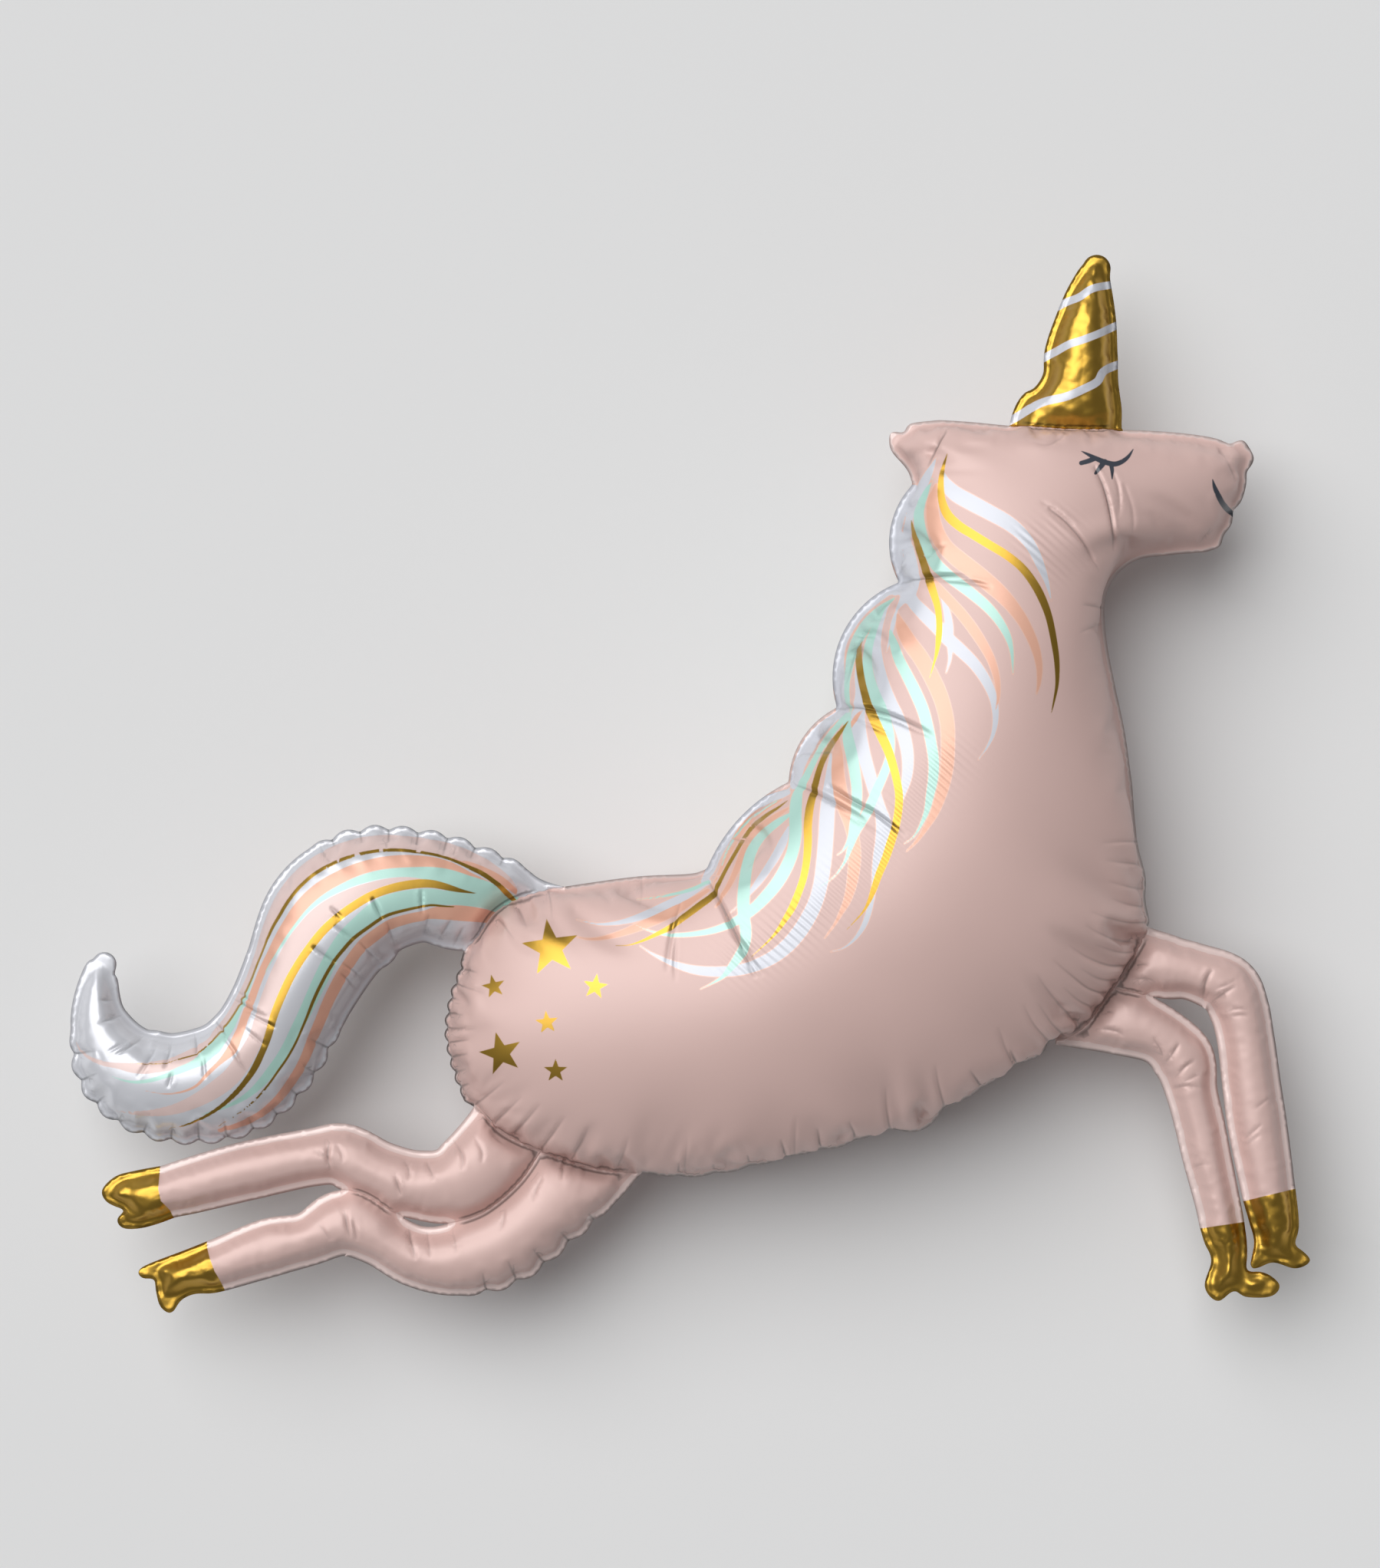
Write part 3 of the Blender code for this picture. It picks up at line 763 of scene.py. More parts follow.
    def normals(self) -> Points:
        """The unit normal at each point."""
        facing = Net.facing(self.points, self.triangles)
        total = Net.at_corners(self.triangles, facing, len(self.points))
        return total / np.maximum(np.linalg.norm(total, axis=1), SIZES.tiny)[:, None]


class FrontFilm:
    """The film on the side that faces up, worked from the plan to its wrinkled form."""

    least = 1e-9

    def __init__(self, plan: Plan, half: float) -> None:
        """Fills the film with air.

        Args:
            plan: The balloon laid out.
            half: Half the balloon's greatest thickness, in metres.
        """
        self.plan = plan
        points = plan.film_points()
        rim = np.unique(plan.outer)
        shut = rim
        while len(shut):
            flat, triangles = Plane.triangulated(points, plan.edges)
            chambers = plan.chambers(flat, triangles)
            triangles, chambers = triangles[chambers >= 0], chambers[chambers >= 0]
            on_rim = np.isin(np.arange(len(flat)), rim)
            shut = triangles[on_rim[triangles].all(axis=1)]
            points = np.vstack([points, flat[shut].mean(axis=1)])
        self.flat, self.triangles, self.chambers = flat, triangles, chambers
        self.from_outline = plan.to_edges(flat, plan.outer)
        self.from_weld = plan.from_weld(flat, self.from_outline)
        self.welded = self.from_weld <= SIZES.close
        held_height = np.where(self.welded, plan.passage(flat, self.from_outline), 0)
        air = Air(flat, triangles)
        self.lift = air.lift(self.welded, held_height)
        free = ~self.welded[triangles].all(axis=1)
        self.slope = Air(flat, triangles[free]).slope(self.lift)
        height = np.sqrt(2 * self.lift)
        self.fullness = SIZES.tube_fullness + (
            SIZES.broad_fullness - SIZES.tube_fullness) * height / height.max()
        height *= self.fullness
        self.height = height * half / height.max()

    def pattern(self, work: Slack) -> Points:
        """Where each point lies when the film is laid flat, before it is filled."""
        slope = np.nan_to_num(self.slope)
        steep = np.linalg.norm(slope, axis=1)
        radius = np.sqrt(steep**2 + 2 * self.lift)
        arc = radius * np.arcsin(np.clip(steep / np.maximum(radius, self.least), 0, 1))
        slack = (arc - steep) * self.fullness**work.slack_power
        away = -slope / np.maximum(steep, self.least)[:, None]
        return self.flat + away * slack[:, None]

    def ties(self) -> tuple[Points, Points]:
        """The film's edges, and the pairs of points across each inner edge, which resist folding."""
        edges, which, count = Sheet(self.flat, self.triangles, self.flat, self.chambers).edges()
        across = [[] for _ in edges]
        for k in range(3):
            for edge, corner in zip(which[:, k], self.triangles[:, (k + 2) % 3]):
                across[edge].append(corner)
        return edges, np.array([pair for pair in across if len(pair) == 2])

    def worked(self, work: Slack) -> Points:
        """Lets the air push the slack film out until it wrinkles.

        Args:
            work: How the film is worked.

        Returns:
            The film's points in space, each within a set distance of the smooth form.
        """
        smooth = np.column_stack([self.flat, self.height])
        loose = ~self.welded
        points = smooth.copy()
        points[loose, 2] += np.random.default_rng(work.seed).normal(0, work.shiver, loose.sum())
        edges, folds = self.ties()
        ties = np.vstack([edges, folds])
        stiff = np.repeat([work.stretch, work.bending], [len(edges), len(folds)])
        active = loose[ties].any(axis=1)
        ties, stiff = ties[active], stiff[active]
        a, b = ties.T
        pattern = self.pattern(work)
        rest = np.maximum(np.linalg.norm(pattern[a] - pattern[b], axis=1),
                          np.linalg.norm(smooth[a] - smooth[b], axis=1))
        total = len(points)
        speed = np.zeros_like(points)
        push = np.zeros_like(points)
        for number in range(work.steps):
            if number % work.push_every == 0:
                push = work.pressure * self.air_push(points)
            line = points[b] - points[a]
            length = np.sqrt((line**2).sum(axis=1))
            pull = line * (stiff * (length - rest) / length)[:, None]
            force = Net.summed(a, pull, total) - Net.summed(b, pull, total)
            speed = (speed + work.time_step * (force + push)) * (1 - work.drag)
            speed[self.welded] = 0
            points += work.time_step * speed
        moved = points - smooth
        far = np.linalg.norm(moved, axis=1)
        LOG.info("film worked: moved %.1f mm on average, %.1f mm at most", 1000 * far.mean(),
                 1000 * far.max())
        moved *= (np.tanh(far / work.farthest) * work.farthest / np.maximum(far, self.least))[:, None]
        return smooth + moved

    def air_push(self, points: Points) -> Points:
        """The force of one unit of air pressure on each point."""
        third = Net.facing(points, self.triangles) / 6
        return Net.at_corners(self.triangles, third, len(points))


class Ink(Enum):
    """What the film is printed with, in the order of printing."""

    ROSE = "rose"
    CORAL = "coral"
    PEARL = "pearl"
    PEACH = "peach"
    MINT = "mint"
    GOLD = "gold"
    SLATE = "slate"


@dataclass(frozen=True)
class Lock:
    """A brush stroke of one ink.

    Its numbers are the x, y and width of each point along it, in thousandths of the balloon's length.
    """

    ink: Ink
    numbers: tuple
    room: float = 0.012

    def line(self) -> Points:
        """The stroke's middle line with its width, in metres."""
        return Curve.drawn(np.reshape(self.numbers, (-1, 3)))

    def depth(self, seen: Points) -> Points:
        """How far inside the stroke each point of the film lies, in metres."""
        line = self.line()
        far, edge, share, _ = Plane.along(seen, line)
        return (line[edge, 2] + share * (line[edge + 1, 2] - line[edge, 2])) / 2 - far

    def near(self, seen: Points) -> Points:
        """The numbers of the points round the stroke."""
        line = self.line()
        return Plane.around(seen, line, line[:, 2].max() / 2 + self.room)


@dataclass(frozen=True)
class Star:
    """A five-pointed star, in thousandths of the balloon's length."""

    centre: tuple
    radius: float
    turn: float
    waist: float = 0.40
    room: float = 0.008

    def outline(self) -> Points:
        """The star's corners, in metres."""
        angles = math.radians(self.turn) + np.arange(10) * math.pi / 5 + math.pi / 2
        radii = np.where(np.arange(10) % 2 == 0, self.radius, self.radius * self.waist)
        return Curve.metres(np.array(self.centre) + radii[:, None] * np.column_stack(
            [np.cos(angles), np.sin(angles)]))

    def depth(self, seen: Points) -> Points:
        """How far inside the star each point of the film lies, in metres."""
        outline = self.outline()
        far = Plane.nearest(seen, outline, np.roll(outline, -1, axis=0))[0]
        return np.where(Plane.inside(seen, outline), far, -far)

    def near(self, seen: Points) -> Points:
        """The numbers of the points round the star."""
        return Plane.around(seen, self.outline(), self.room)


@dataclass(frozen=True)
class Band:
    """A stripe along the tail.

    Its numbers are a place along the tail and the stripe's upper and lower edge across it, again and
    again, in thousandths.
    """

    ink: Ink
    numbers: tuple

    def depth(self, at: "TailPlace") -> Points:
        """How far inside the stripe each point lies, in metres."""
        along, high, low = Curve.smooth(np.reshape(self.numbers, (-1, 3)) / 1000).T
        within = np.minimum(np.interp(at.along, along, high) - at.across,
                            at.across - np.interp(at.along, along, low)) * at.half
        ends = np.minimum(at.along - along[0], along[-1] - at.along) * at.total
        return np.minimum(within, ends)


def marks(kind: type, drawn: dict[Ink, tuple]) -> tuple:
    """Locks or bands from each ink's rows of numbers."""
    return tuple(kind(ink, row) for ink, rows in drawn.items() for row in rows)


MANE_EDGE = marks(Lock, {Ink.PEARL: (
    (180, 239, 5, 171, 226, 11, 166, 213, 12, 163.5, 200, 12, 165, 187, 11.5, 169, 174, 9, 171, 163, 9,
     165, 156, 9),
    (198, 262, 1, 192, 250, 6, 186, 238, 8, 180, 226, 7.5, 176.5, 214, 6, 174.5, 200, 7, 176, 187, 9,
     178, 174, 11, 178, 163, 13, 175, 153, 12, 170, 146, 5, 166, 140, 2),
    (162, 158, 8, 148, 149, 10, 136, 139, 11, 126, 126, 12, 119.5, 112, 12, 118, 98, 11.5, 119, 84, 11,
     121, 70, 9, 122, 60, 10, 126, 50, 7),
    (120, 56, 6, 107, 46, 8, 97, 34, 10, 90, 21, 10, 86, 9, 9, 84, -1, 8),
    (78, -7, 5, 64, -13, 8, 50, -21, 10, 37, -32, 11, 27, -44, 11, 20, -58, 9, 15, -71, 7, 10, -79, 4),
), Ink.MINT: (
    (165, 150, 1, 157, 144, 4, 149, 136.5, 7, 141, 127, 8.5, 134.5, 116, 8.5, 130, 105, 7.5, 127.5, 93, 6,
     126, 80, 4.5, 126.5, 68, 4, 129, 58, 2),
    (126, 56, 2.5, 119, 47, 4.5, 111, 37, 5, 104, 27, 5, 98, 15, 5, 93, 5, 6, 88, -4, 7),
    (72, -13, 1, 60, -20, 1.8, 48, -29, 1.8, 38, -40, 1.8, 30, -53, 1.8, 25, -66, 1),
)})
MANE = MANE_EDGE + marks(Lock, {Ink.PEARL: (
    (204, 251, 1, 206, 242, 9, 213, 234, 12, 226, 226.5, 12.5, 241, 218.5, 12, 256, 210, 11.5, 268, 200, 10,
     276, 189, 8.5, 282, 176, 7, 287, 163, 4, 291, 147, 0.5),
    (175, 158, 9, 179, 147, 10, 188, 137, 11, 198, 127, 11, 208, 116, 10.5, 218, 107, 10, 229, 96, 9,
     238, 83, 8, 244, 69, 6.5, 246, 54, 5, 244, 40, 3.2, 239, 29, 1.8, 232, 19, 0.5),
    (201, 157, 1.5, 206, 141, 5, 208.5, 126, 6.5, 209, 112, 4.5, 209, 100, 2.5, 206, 89, 0.6),
    (160, 146, 1.5, 153, 131, 6, 149.5, 118, 8.5, 149.5, 106, 9, 152, 92, 9.5, 156, 78, 10, 161, 65, 10.5,
     167, 52, 11, 172, 38, 10.5, 175, 22, 9.5, 174.5, 6, 8, 171, -8, 5, 166, -22, 2),
    (167, 142, 1, 163.5, 130, 3.5, 161, 118, 2.5, 158, 106, 0.6),
    (134, 100, 1, 134.5, 86, 4.5, 136, 74, 6.5, 136, 62, 9.5, 135, 50, 11.5, 137, 36, 11, 140, 22, 10.5,
     144, 8, 10, 148, -6, 9.5, 152, -19, 9.5, 155.5, -32, 12, 155, -46, 12, 152, -58, 9.5, 149.5, -70, 6.5,
     148, -82, 4, 146.5, -93, 3.5, 143, -106, 4.5, 139, -116, 4, 132, -126, 2.4, 123, -133, 1.2,
     113, -136, 0.5),
    (113, 24, 1.5, 112, 8, 6, 111.5, -8, 10.5, 110, -26, 12, 109, -44, 12, 107.5, -62, 12, 105, -80, 11.5,
     101, -95, 11.5, 95, -108, 12, 87.5, -120, 12, 78, -131, 11.5, 66, -140.5, 10.5, 52, -147, 9.5,
     37, -151, 8.5, 21, -152, 8, 6, -151, 7, -7, -148, 5.5, -20, -143, 3.5, -32, -137, 1.5, -41, -131, 0.5),
    (79, -35, 1.5, 75, -46, 6.5, 69, -58, 7, 62, -69, 6.5, 55, -79, 5.5, 48, -88, 3, 38, -99, 1.2,
     28, -108, 0.5),
    (15, -79, 3, 4, -86.5, 4.5, -8, -93, 6.5, -20, -99, 7.5, -34, -105, 6.5, -48, -110, 5, -62, -113, 3,
     -76, -113.5, 1.6, -92, -110, 0.5),
), Ink.PEACH: (
    (198, 241, 2, 195, 228, 8, 195.5, 214, 10.5, 199, 201, 12, 206, 190, 12, 217, 180, 13, 229, 171, 12.5,
     241, 161, 12.5, 251, 152, 11.5, 260, 142, 10, 269, 129, 8.5, 277, 112, 7, 281, 96, 5, 281, 82, 3,
     279, 72, 0.6),
    (192, 168, 2, 198, 159, 6.5, 208, 148, 7.5, 218, 137, 8, 228, 124, 8, 237, 110, 7, 243, 98, 6,
     247, 84, 4.5, 248, 70, 2.5, 246, 59, 0.6),
    (167, 136, 2, 170.5, 125, 9, 177, 113, 11.5, 185, 102, 12, 192, 90, 12, 199, 76, 12, 204, 62, 11.5,
     207, 47, 11, 207.5, 32, 10.5, 207, 16, 10, 205, 2, 9, 201, -12, 8, 196, -25, 6, 189, -37, 3.5,
     182, -47, 1.8, 174, -55, 0.5),
    (119, 38, 1, 118.5, 25, 7.5, 118.5, 10, 10, 120, -4, 11, 123.5, -18, 11, 128, -31, 9.5, 131, -43, 9,
     132.5, -57, 9, 131.5, -70, 9, 129.5, -83, 7.5, 126, -95, 5.5, 121, -105, 3, 116, -114, 1.4,
     108, -125, 0.5),
    (139, 60, 0.8, 133.5, 53, 3.5, 129, 46, 3, 126, 40, 1),
    (79, -20, 1.5, 68, -27, 4, 58, -34, 5, 49, -44, 6, 43, -55, 6, 38, -67, 5, 32, -80, 4, 26, -90, 3,
     20, -100, 0.8),
    (73, -13, 1.5, 60, -20, 4.5, 50, -27.5, 5.5, 41, -37.5, 6, 34, -49, 5.5, 28, -61, 4, 22, -74, 2,
     17, -84, 0.8),
    (14, -86, 2.5, 2, -94, 4.5, -10, -101, 7, -24, -108, 7.5, -40, -115, 6.5, -56, -121, 4.5, -72, -125, 2.5,
     -84, -125.5, 1.2, -93, -123.5, 0.5),
), Ink.MINT: (
    (195, 246, 0.8, 189.5, 234, 4.5, 184.5, 221, 7.5, 184.5, 209, 9, 187.5, 197, 9, 192, 187, 9,
     198, 176.5, 10, 207, 168, 9.5, 217, 160.5, 9, 228, 152, 8.5, 239, 142.5, 8, 248, 132, 7,
     255.5, 119, 5.5, 259, 106, 3, 260, 88, 0.6),
    (161, 123, 2, 164, 112, 7, 168, 100, 8.5, 174, 88, 9, 181, 74, 9.5, 187, 60, 9.5, 191, 46, 9,
     194, 32, 8.5, 196, 18, 8.5, 195.5, 4, 8, 193, -10, 6.5, 190.5, -22, 4.5, 186, -33, 2.5, 180, -43, 1.2,
     172, -49, 0.5),
    (157, 142, 1, 151, 131, 4, 146, 119, 6, 143, 107, 7, 142.5, 95, 8, 144.5, 83, 9, 148.5, 71, 9.5,
     153.5, 60, 9.5, 158, 48, 8.5, 161, 36, 7, 160.5, 22, 6.5, 156, 8, 7, 149, -8, 7.5, 142, -24, 7.5,
     134, -38, 6.5, 129, -51, 4.5, 124, -64, 2, 115, -76, 1, 102, -85, 0.5),
    (129, 59, 1.5, 126.5, 48, 5.5, 127, 36, 9, 130, 22, 9.5, 132.5, 8, 9, 134, -6, 8.5, 133.5, -20, 8,
     131, -33, 6, 128, -45, 3.5, 123, -54, 1.4, 118, -58, 0.5),
    (89, 0, 4, 85.5, -12, 9, 84.5, -26, 10, 84.5, -40, 10, 82.5, -54, 9.5, 77.5, -67, 10, 70, -80, 10,
     61, -91, 9.5, 51, -101, 8.5, 41, -108.5, 7.5, 30, -114.5, 6, 17, -119, 5, 3, -121.5, 4,
     -11, -122.5, 3.2, -24, -121.5, 2, -36, -118, 1, -45, -114, 0.5),
    (80, -25, 2.5, 71, -31, 5.5, 63, -37, 6.5, 55, -45, 7.5, 49, -55, 8.5, 45.5, -67, 9, 43.5, -80, 9.5,
     42.5, -94, 10, 43, -108, 9.5, 44.5, -120, 9, 43, -132, 8.5, 38, -141, 7.5, 32, -149, 5.5, 26, -156, 3,
     18, -161, 1.4, 8, -166, 0.5),
    (14, -79, 2.5, 2, -85, 3, -12, -89, 2.4, -28, -92, 1.6, -44, -93.5, 0.5),
), Ink.GOLD: (
    (207, 266, 0.5, 203.5, 254, 3, 201.8, 243, 4.8, 202.5, 229, 6.2, 207, 217, 7.6, 216, 208, 7.6,
     227, 201, 7.2, 240, 193, 7, 254, 184.5, 6.8, 266, 175, 6.6, 275, 164, 6.6, 282.5, 151, 6.5,
     289, 134, 5.6, 293.5, 112, 5, 295.5, 96, 4.2, 295.5, 80, 2.8, 293, 66, 1.6, 291, 57, 0.5),
    (178, 212, 0.6, 179.5, 203, 3.2, 183, 192, 5, 187, 180, 5.8, 191, 168, 6.6, 195, 156, 6.6, 199, 143, 5.6,
     200.5, 130, 5.2, 200, 117, 5, 198.5, 106, 3.2, 196, 96, 1.6, 192.5, 84.5, 0.5),
    (138, 115, 0.8, 135.5, 106, 5, 136, 95, 5.6, 138, 82, 5.8, 141, 70, 6.2, 144, 60, 7.2, 149, 49, 8,
     154, 38, 8, 159, 27, 7.6, 163, 15, 7, 166, 3, 6.6, 168, -9, 6.6, 167.5, -22, 6.6, 165, -36, 6.6,
     161, -49, 7, 157, -61, 6.6, 152, -73, 6, 147.5, -86, 5, 143.5, -96, 3, 138, -105, 1.5, 126, -118, 0.5),
    (127, 50, 0.6, 119, 39, 3.6, 112, 29, 4.6, 106, 17, 4.6, 102, 5, 5, 99, -8, 5.6, 96, -20, 6.6,
     94.5, -34, 6.8, 94.5, -48, 6.6, 93.5, -62, 6.2, 91, -76, 6, 87, -88, 6, 82, -100, 6, 76, -110, 4.6,
     70, -119, 3, 63, -127, 1.6, 49, -140, 0.5),
    (78, -14, 0.6, 70, -20, 2, 60, -26.5, 3, 50, -35, 3.4, 42, -46, 3.2, 35, -58, 3, 28, -70, 3,
     22, -82, 3.4, 17, -91, 5, 8, -98, 5.6, -4, -107, 5.2, -17, -116.5, 4.6, -28, -122, 3.4, -40, -127.5, 2,
     -50, -130.5, 1, -61, -131, 0.5),
)})
STARS = (Star((-113, -133), 24, 8), Star((-159, -164), 10, 12), Star((-77, -164), 11, -8),
         Star((-116, -193), 10, 6), Star((-153, -218), 18, 14), Star((-109, -232), 10, 0))
FACE = marks(Lock, {Ink.SLATE: (
    (315, 268, 0.6, 321, 265, 2.6, 328, 261.5, 4, 335, 258.8, 4.2, 342, 257.5, 4.2, 348, 259.5, 3.8,
     353, 263.5, 2.8, 357, 269.5, 0.8),
    (326, 262, 4, 321, 260, 4, 315, 258.3, 3.6),
    (334, 259.5, 4.2, 330.5, 255, 4, 326.5, 250, 2.2),
    (339, 258, 3.6, 340, 252, 3, 340, 245.5, 1),
    (421, 245, 0.8, 423, 238, 3.4, 427, 229.5, 4.6, 432, 222, 4.6, 438, 216.5, 4),
)})
HORN_BANDS = marks(Lock, {Ink.PEARL: (
    (292, 382, 6, 303, 388, 6, 313, 392, 6, 324, 399, 6, 339, 402, 6, 352, 404, 6),
    (272, 336, 6, 285, 343, 6, 294, 348, 6, 305, 354, 6, 317, 358, 6, 330, 363, 6, 343, 369, 6, 356, 374, 6),
    (251, 289, 6.5, 264, 296, 6.5, 275, 303, 6.5, 286, 308, 6.5, 303, 312, 6.5, 317, 318, 6.5, 328, 324, 6.5,
     333, 332, 6.5, 343, 337, 6.5, 358, 341, 6.5),
)})


class TailPlace:
    """Where points lie on the tail: along it from root to tip, and across it from -1 below to 1 above."""

    def __init__(self, seen: Points) -> None:
        line = Curve.drawn(TAIL.spine)
        lengths = Curve.lengths(line)
        _, edge, share, side = Plane.along(seen, line)
        self.total = lengths[-1]
        self.along = (lengths[edge] + share * (lengths[edge + 1] - lengths[edge])) / self.total
        self.half = line[edge, 2] + share * (line[edge + 1, 2] - line[edge, 2])
        self.across = -side / self.half


TAIL_BANDS = marks(Band, {Ink.ROSE: (
    (90, 440, 300, 105, 620, 400, 130, 780, 420, 150, 840, 550, 200, 870, 600, 300, 870, 620, 400, 870, 680,
     450, 880, 740, 500, 860, 760, 550, 870, 750, 600, 860, 740, 650, 820, 680, 700, 720, 540, 720, 670, 440,
     750, 580, 340, 780, 470, 220, 800, 360, 100, 820, 220, -20, 840, 20, -150, 860, -320, -450,
     880, -680, -740, 895, -820, -840),
    (220, 180, 140, 260, 175, 100, 300, 170, 40, 330, 210, 30, 360, 260, 30, 400, 360, 80, 430, 440, 140,
     460, 490, 200, 500, 510, 240, 540, 480, 220, 580, 380, 120, 620, 290, 0, 650, 220, -100, 680, 100, -220,
     700, 0, -300, 730, -180, -420, 760, -380, -550, 790, -620, -700, 810, -800, -820),
), Ink.PEACH: (
    (90, 420, 300, 105, 520, 360, 120, 600, 400, 140, 655, 500, 160, 675, 580, 180, 665, 600, 210, 620, 610),
    (120, 370, 360, 150, 460, 410, 180, 520, 420, 200, 550, 410, 220, 560, 370, 250, 550, 335, 300, 510, 320,
     350, 530, 340, 400, 590, 410, 450, 670, 530, 500, 710, 585, 550, 680, 540, 600, 580, 430, 630, 490, 310,
     660, 400, 290, 680, 320, 240, 700, 200, 120, 720, 20, -30, 750, -100, -130, 790, -190, -200),
    (100, -160, -420, 120, -170, -430, 150, -140, -430, 170, -160, -450, 190, -260, -520, 220, -410, -600,
     250, -450, -620, 300, -465, -630, 350, -465, -635, 400, -475, -640, 450, -460, -650, 500, -490, -680,
     550, -550, -730, 600, -640, -800, 640, -710, -840, 700, -800, -860),
), Ink.MINT: (
    (85, 260, -180, 115, 330, -190, 130, 390, -150, 150, 415, -120, 180, 425, -50, 200, 410, 50,
     220, 375, 120, 250, 335, 170, 300, 315, 180, 330, 325, 220, 360, 350, 270, 400, 415, 370, 440, 510, 470,
     480, 585, 565, 500, 590, 585),
    (490, 750, 745, 530, 765, 715, 560, 755, 690, 600, 745, 620, 630, 720, 560, 660, 700, 480, 680, 670, 440,
     700, 580, 350, 720, 460, 310, 750, 350, 220, 770, 220, 120, 790, 60, -30, 810, -120, -180,
     840, -340, -350),
    (130, 120, -140, 150, 100, -140, 170, 60, -160, 190, 20, -240, 220, -20, -330, 260, -60, -375,
     300, -100, -380, 330, -140, -385, 360, -180, -385, 400, -180, -370, 430, -170, -385, 460, -170, -410,
     500, -190, -420, 550, -215, -410, 600, -250, -420, 630, -290, -440, 660, -360, -450, 690, -440, -480,
     720, -510, -520),
), Ink.GOLD: (
    (88, 200, 100, 105, 340, 200, 120, 450, 340, 140, 560, 460, 160, 600, 520, 200, 620, 570, 250, 650, 595,
     300, 650, 600, 350, 680, 630, 400, 710, 660, 430, 755, 710, 460, 780, 745, 500, 785, 750, 550, 785, 750,
     600, 775, 740, 650, 735, 705, 680, 690, 660, 710, 575, 550, 740, 530, 505, 770, 440, 420, 790, 370, 350,
     810, 270, 255, 830, 140, 135),
    (145, 125, 120, 165, 140, 90, 180, 148, 60, 200, 148, 20, 230, 140, -15, 260, 100, -50, 300, 45, -85,
     350, 30, -90, 380, 50, -75, 420, 130, 0, 460, 210, 80, 500, 245, 105, 540, 225, 85, 580, 120, -10,
     600, 50, -65, 620, -20, -140, 650, -140, -235, 670, -250, -340, 690, -390, -460, 720, -575, -620,
     755, -780, -790),
    (175, -200, -220, 190, -245, -280, 200, -270, -310, 230, -330, -375, 260, -360, -410, 300, -370, -420,
     350, -375, -425, 400, -355, -410, 430, -320, -375, 460, -305, -360, 500, -320, -375, 530, -355, -400,
     560, -390, -430, 600, -410, -450, 630, -460, -495, 650, -515, -545, 670, -600, -625, 700, -760, -770),
)})


@dataclass(frozen=True)
class GoldTip:
    """Gold film beyond a line across a limb, on the line's right, in thousandths of the length."""

    limb: Limb
    edge: tuple

    def depth(self, flat: Points) -> Points:
        """How far beyond the line each point of the film lies, in metres."""
        return -Plane.along(flat, Curve.metres(self.edge))[3]


GOLD_TIPS = (
    GoldTip(NEAR_HIND, ((-391, -355), (-390, -375), (-388, -383), (-384, -394), (-380, -400.5),
                        (-370, -420))),
    GoldTip(FAR_HIND, ((-426, -290), (-428, -310), (-429.5, -327), (-427.5, -337), (-420, -344.5),
                       (-410, -364))),
    GoldTip(NEAR_FRONT, ((395, -360), (412, -359), (449, -353.5), (470, -350))),
    GoldTip(FAR_FRONT, ((430, -341), (446.5, -337), (488, -327), (510, -322))),
    GoldTip(HORN, ((380, 279), (341, 280), (300, 281), (290, 284.6), (275, 286), (260, 283), (230, 280))),
)


@dataclass(frozen=True)
class Crease:
    """A fold that the film is drawn into, in thousandths of the length, its depth and width in metres."""

    route: tuple
    depth: float = 0.0016
    width: float = 0.0022
    at_weld: bool = False

    weld_taper, free_taper = 0.8, 0.7
    free_start, free_run = 0.08, 1.12
    ridge, ridge_away = 0.3, 1.9
    # How the painted shade in a fold grows with its depth, and how far it spreads, in widths.
    dark_power, dark_widths = 1.4, 1.6
    reach_widths = 5

    def line(self) -> Points:
        """The fold's line, in metres."""
        return Curve.drawn(self.route)

    def form(self, seen: Points) -> tuple[Points, Points, Points]:
        """The fold's shape.

        Args:
            seen: The points' places.

        Returns:
            How far the film stands out, how strong the painted shade in the fold is, and how far to its side
            each point lies.
        """
        line = self.line()
        far, edge, share, side = Plane.along(seen, line)
        t = (edge + share) / (len(line) - 1)
        if self.at_weld:
            fade = (1 - t)**self.weld_taper
        else:
            fade = np.sin(np.clip(t * self.free_run + self.free_start, 0, 1) * math.pi)**self.free_taper
        valley = -np.exp(-(far / self.width)**2)
        ridge = np.exp(-((side - self.ridge_away * self.width) / self.width)**2)
        # Painted shade along the bottom of the fold, full at the fully shaded depth and fading towards its
        # ends.
        dark = np.clip(self.depth / SIZES.full_fold, 0, 1)**self.dark_power
        strong = dark * fade * np.exp(-(far / (self.dark_widths * self.width))**2)
        return self.depth * fade * (valley + self.ridge * ridge), strong, side

    def near(self, seen: Points) -> Points:
        """The numbers of the points that the fold can reach."""
        return Plane.around(seen, self.line(), self.reach_widths * self.width)


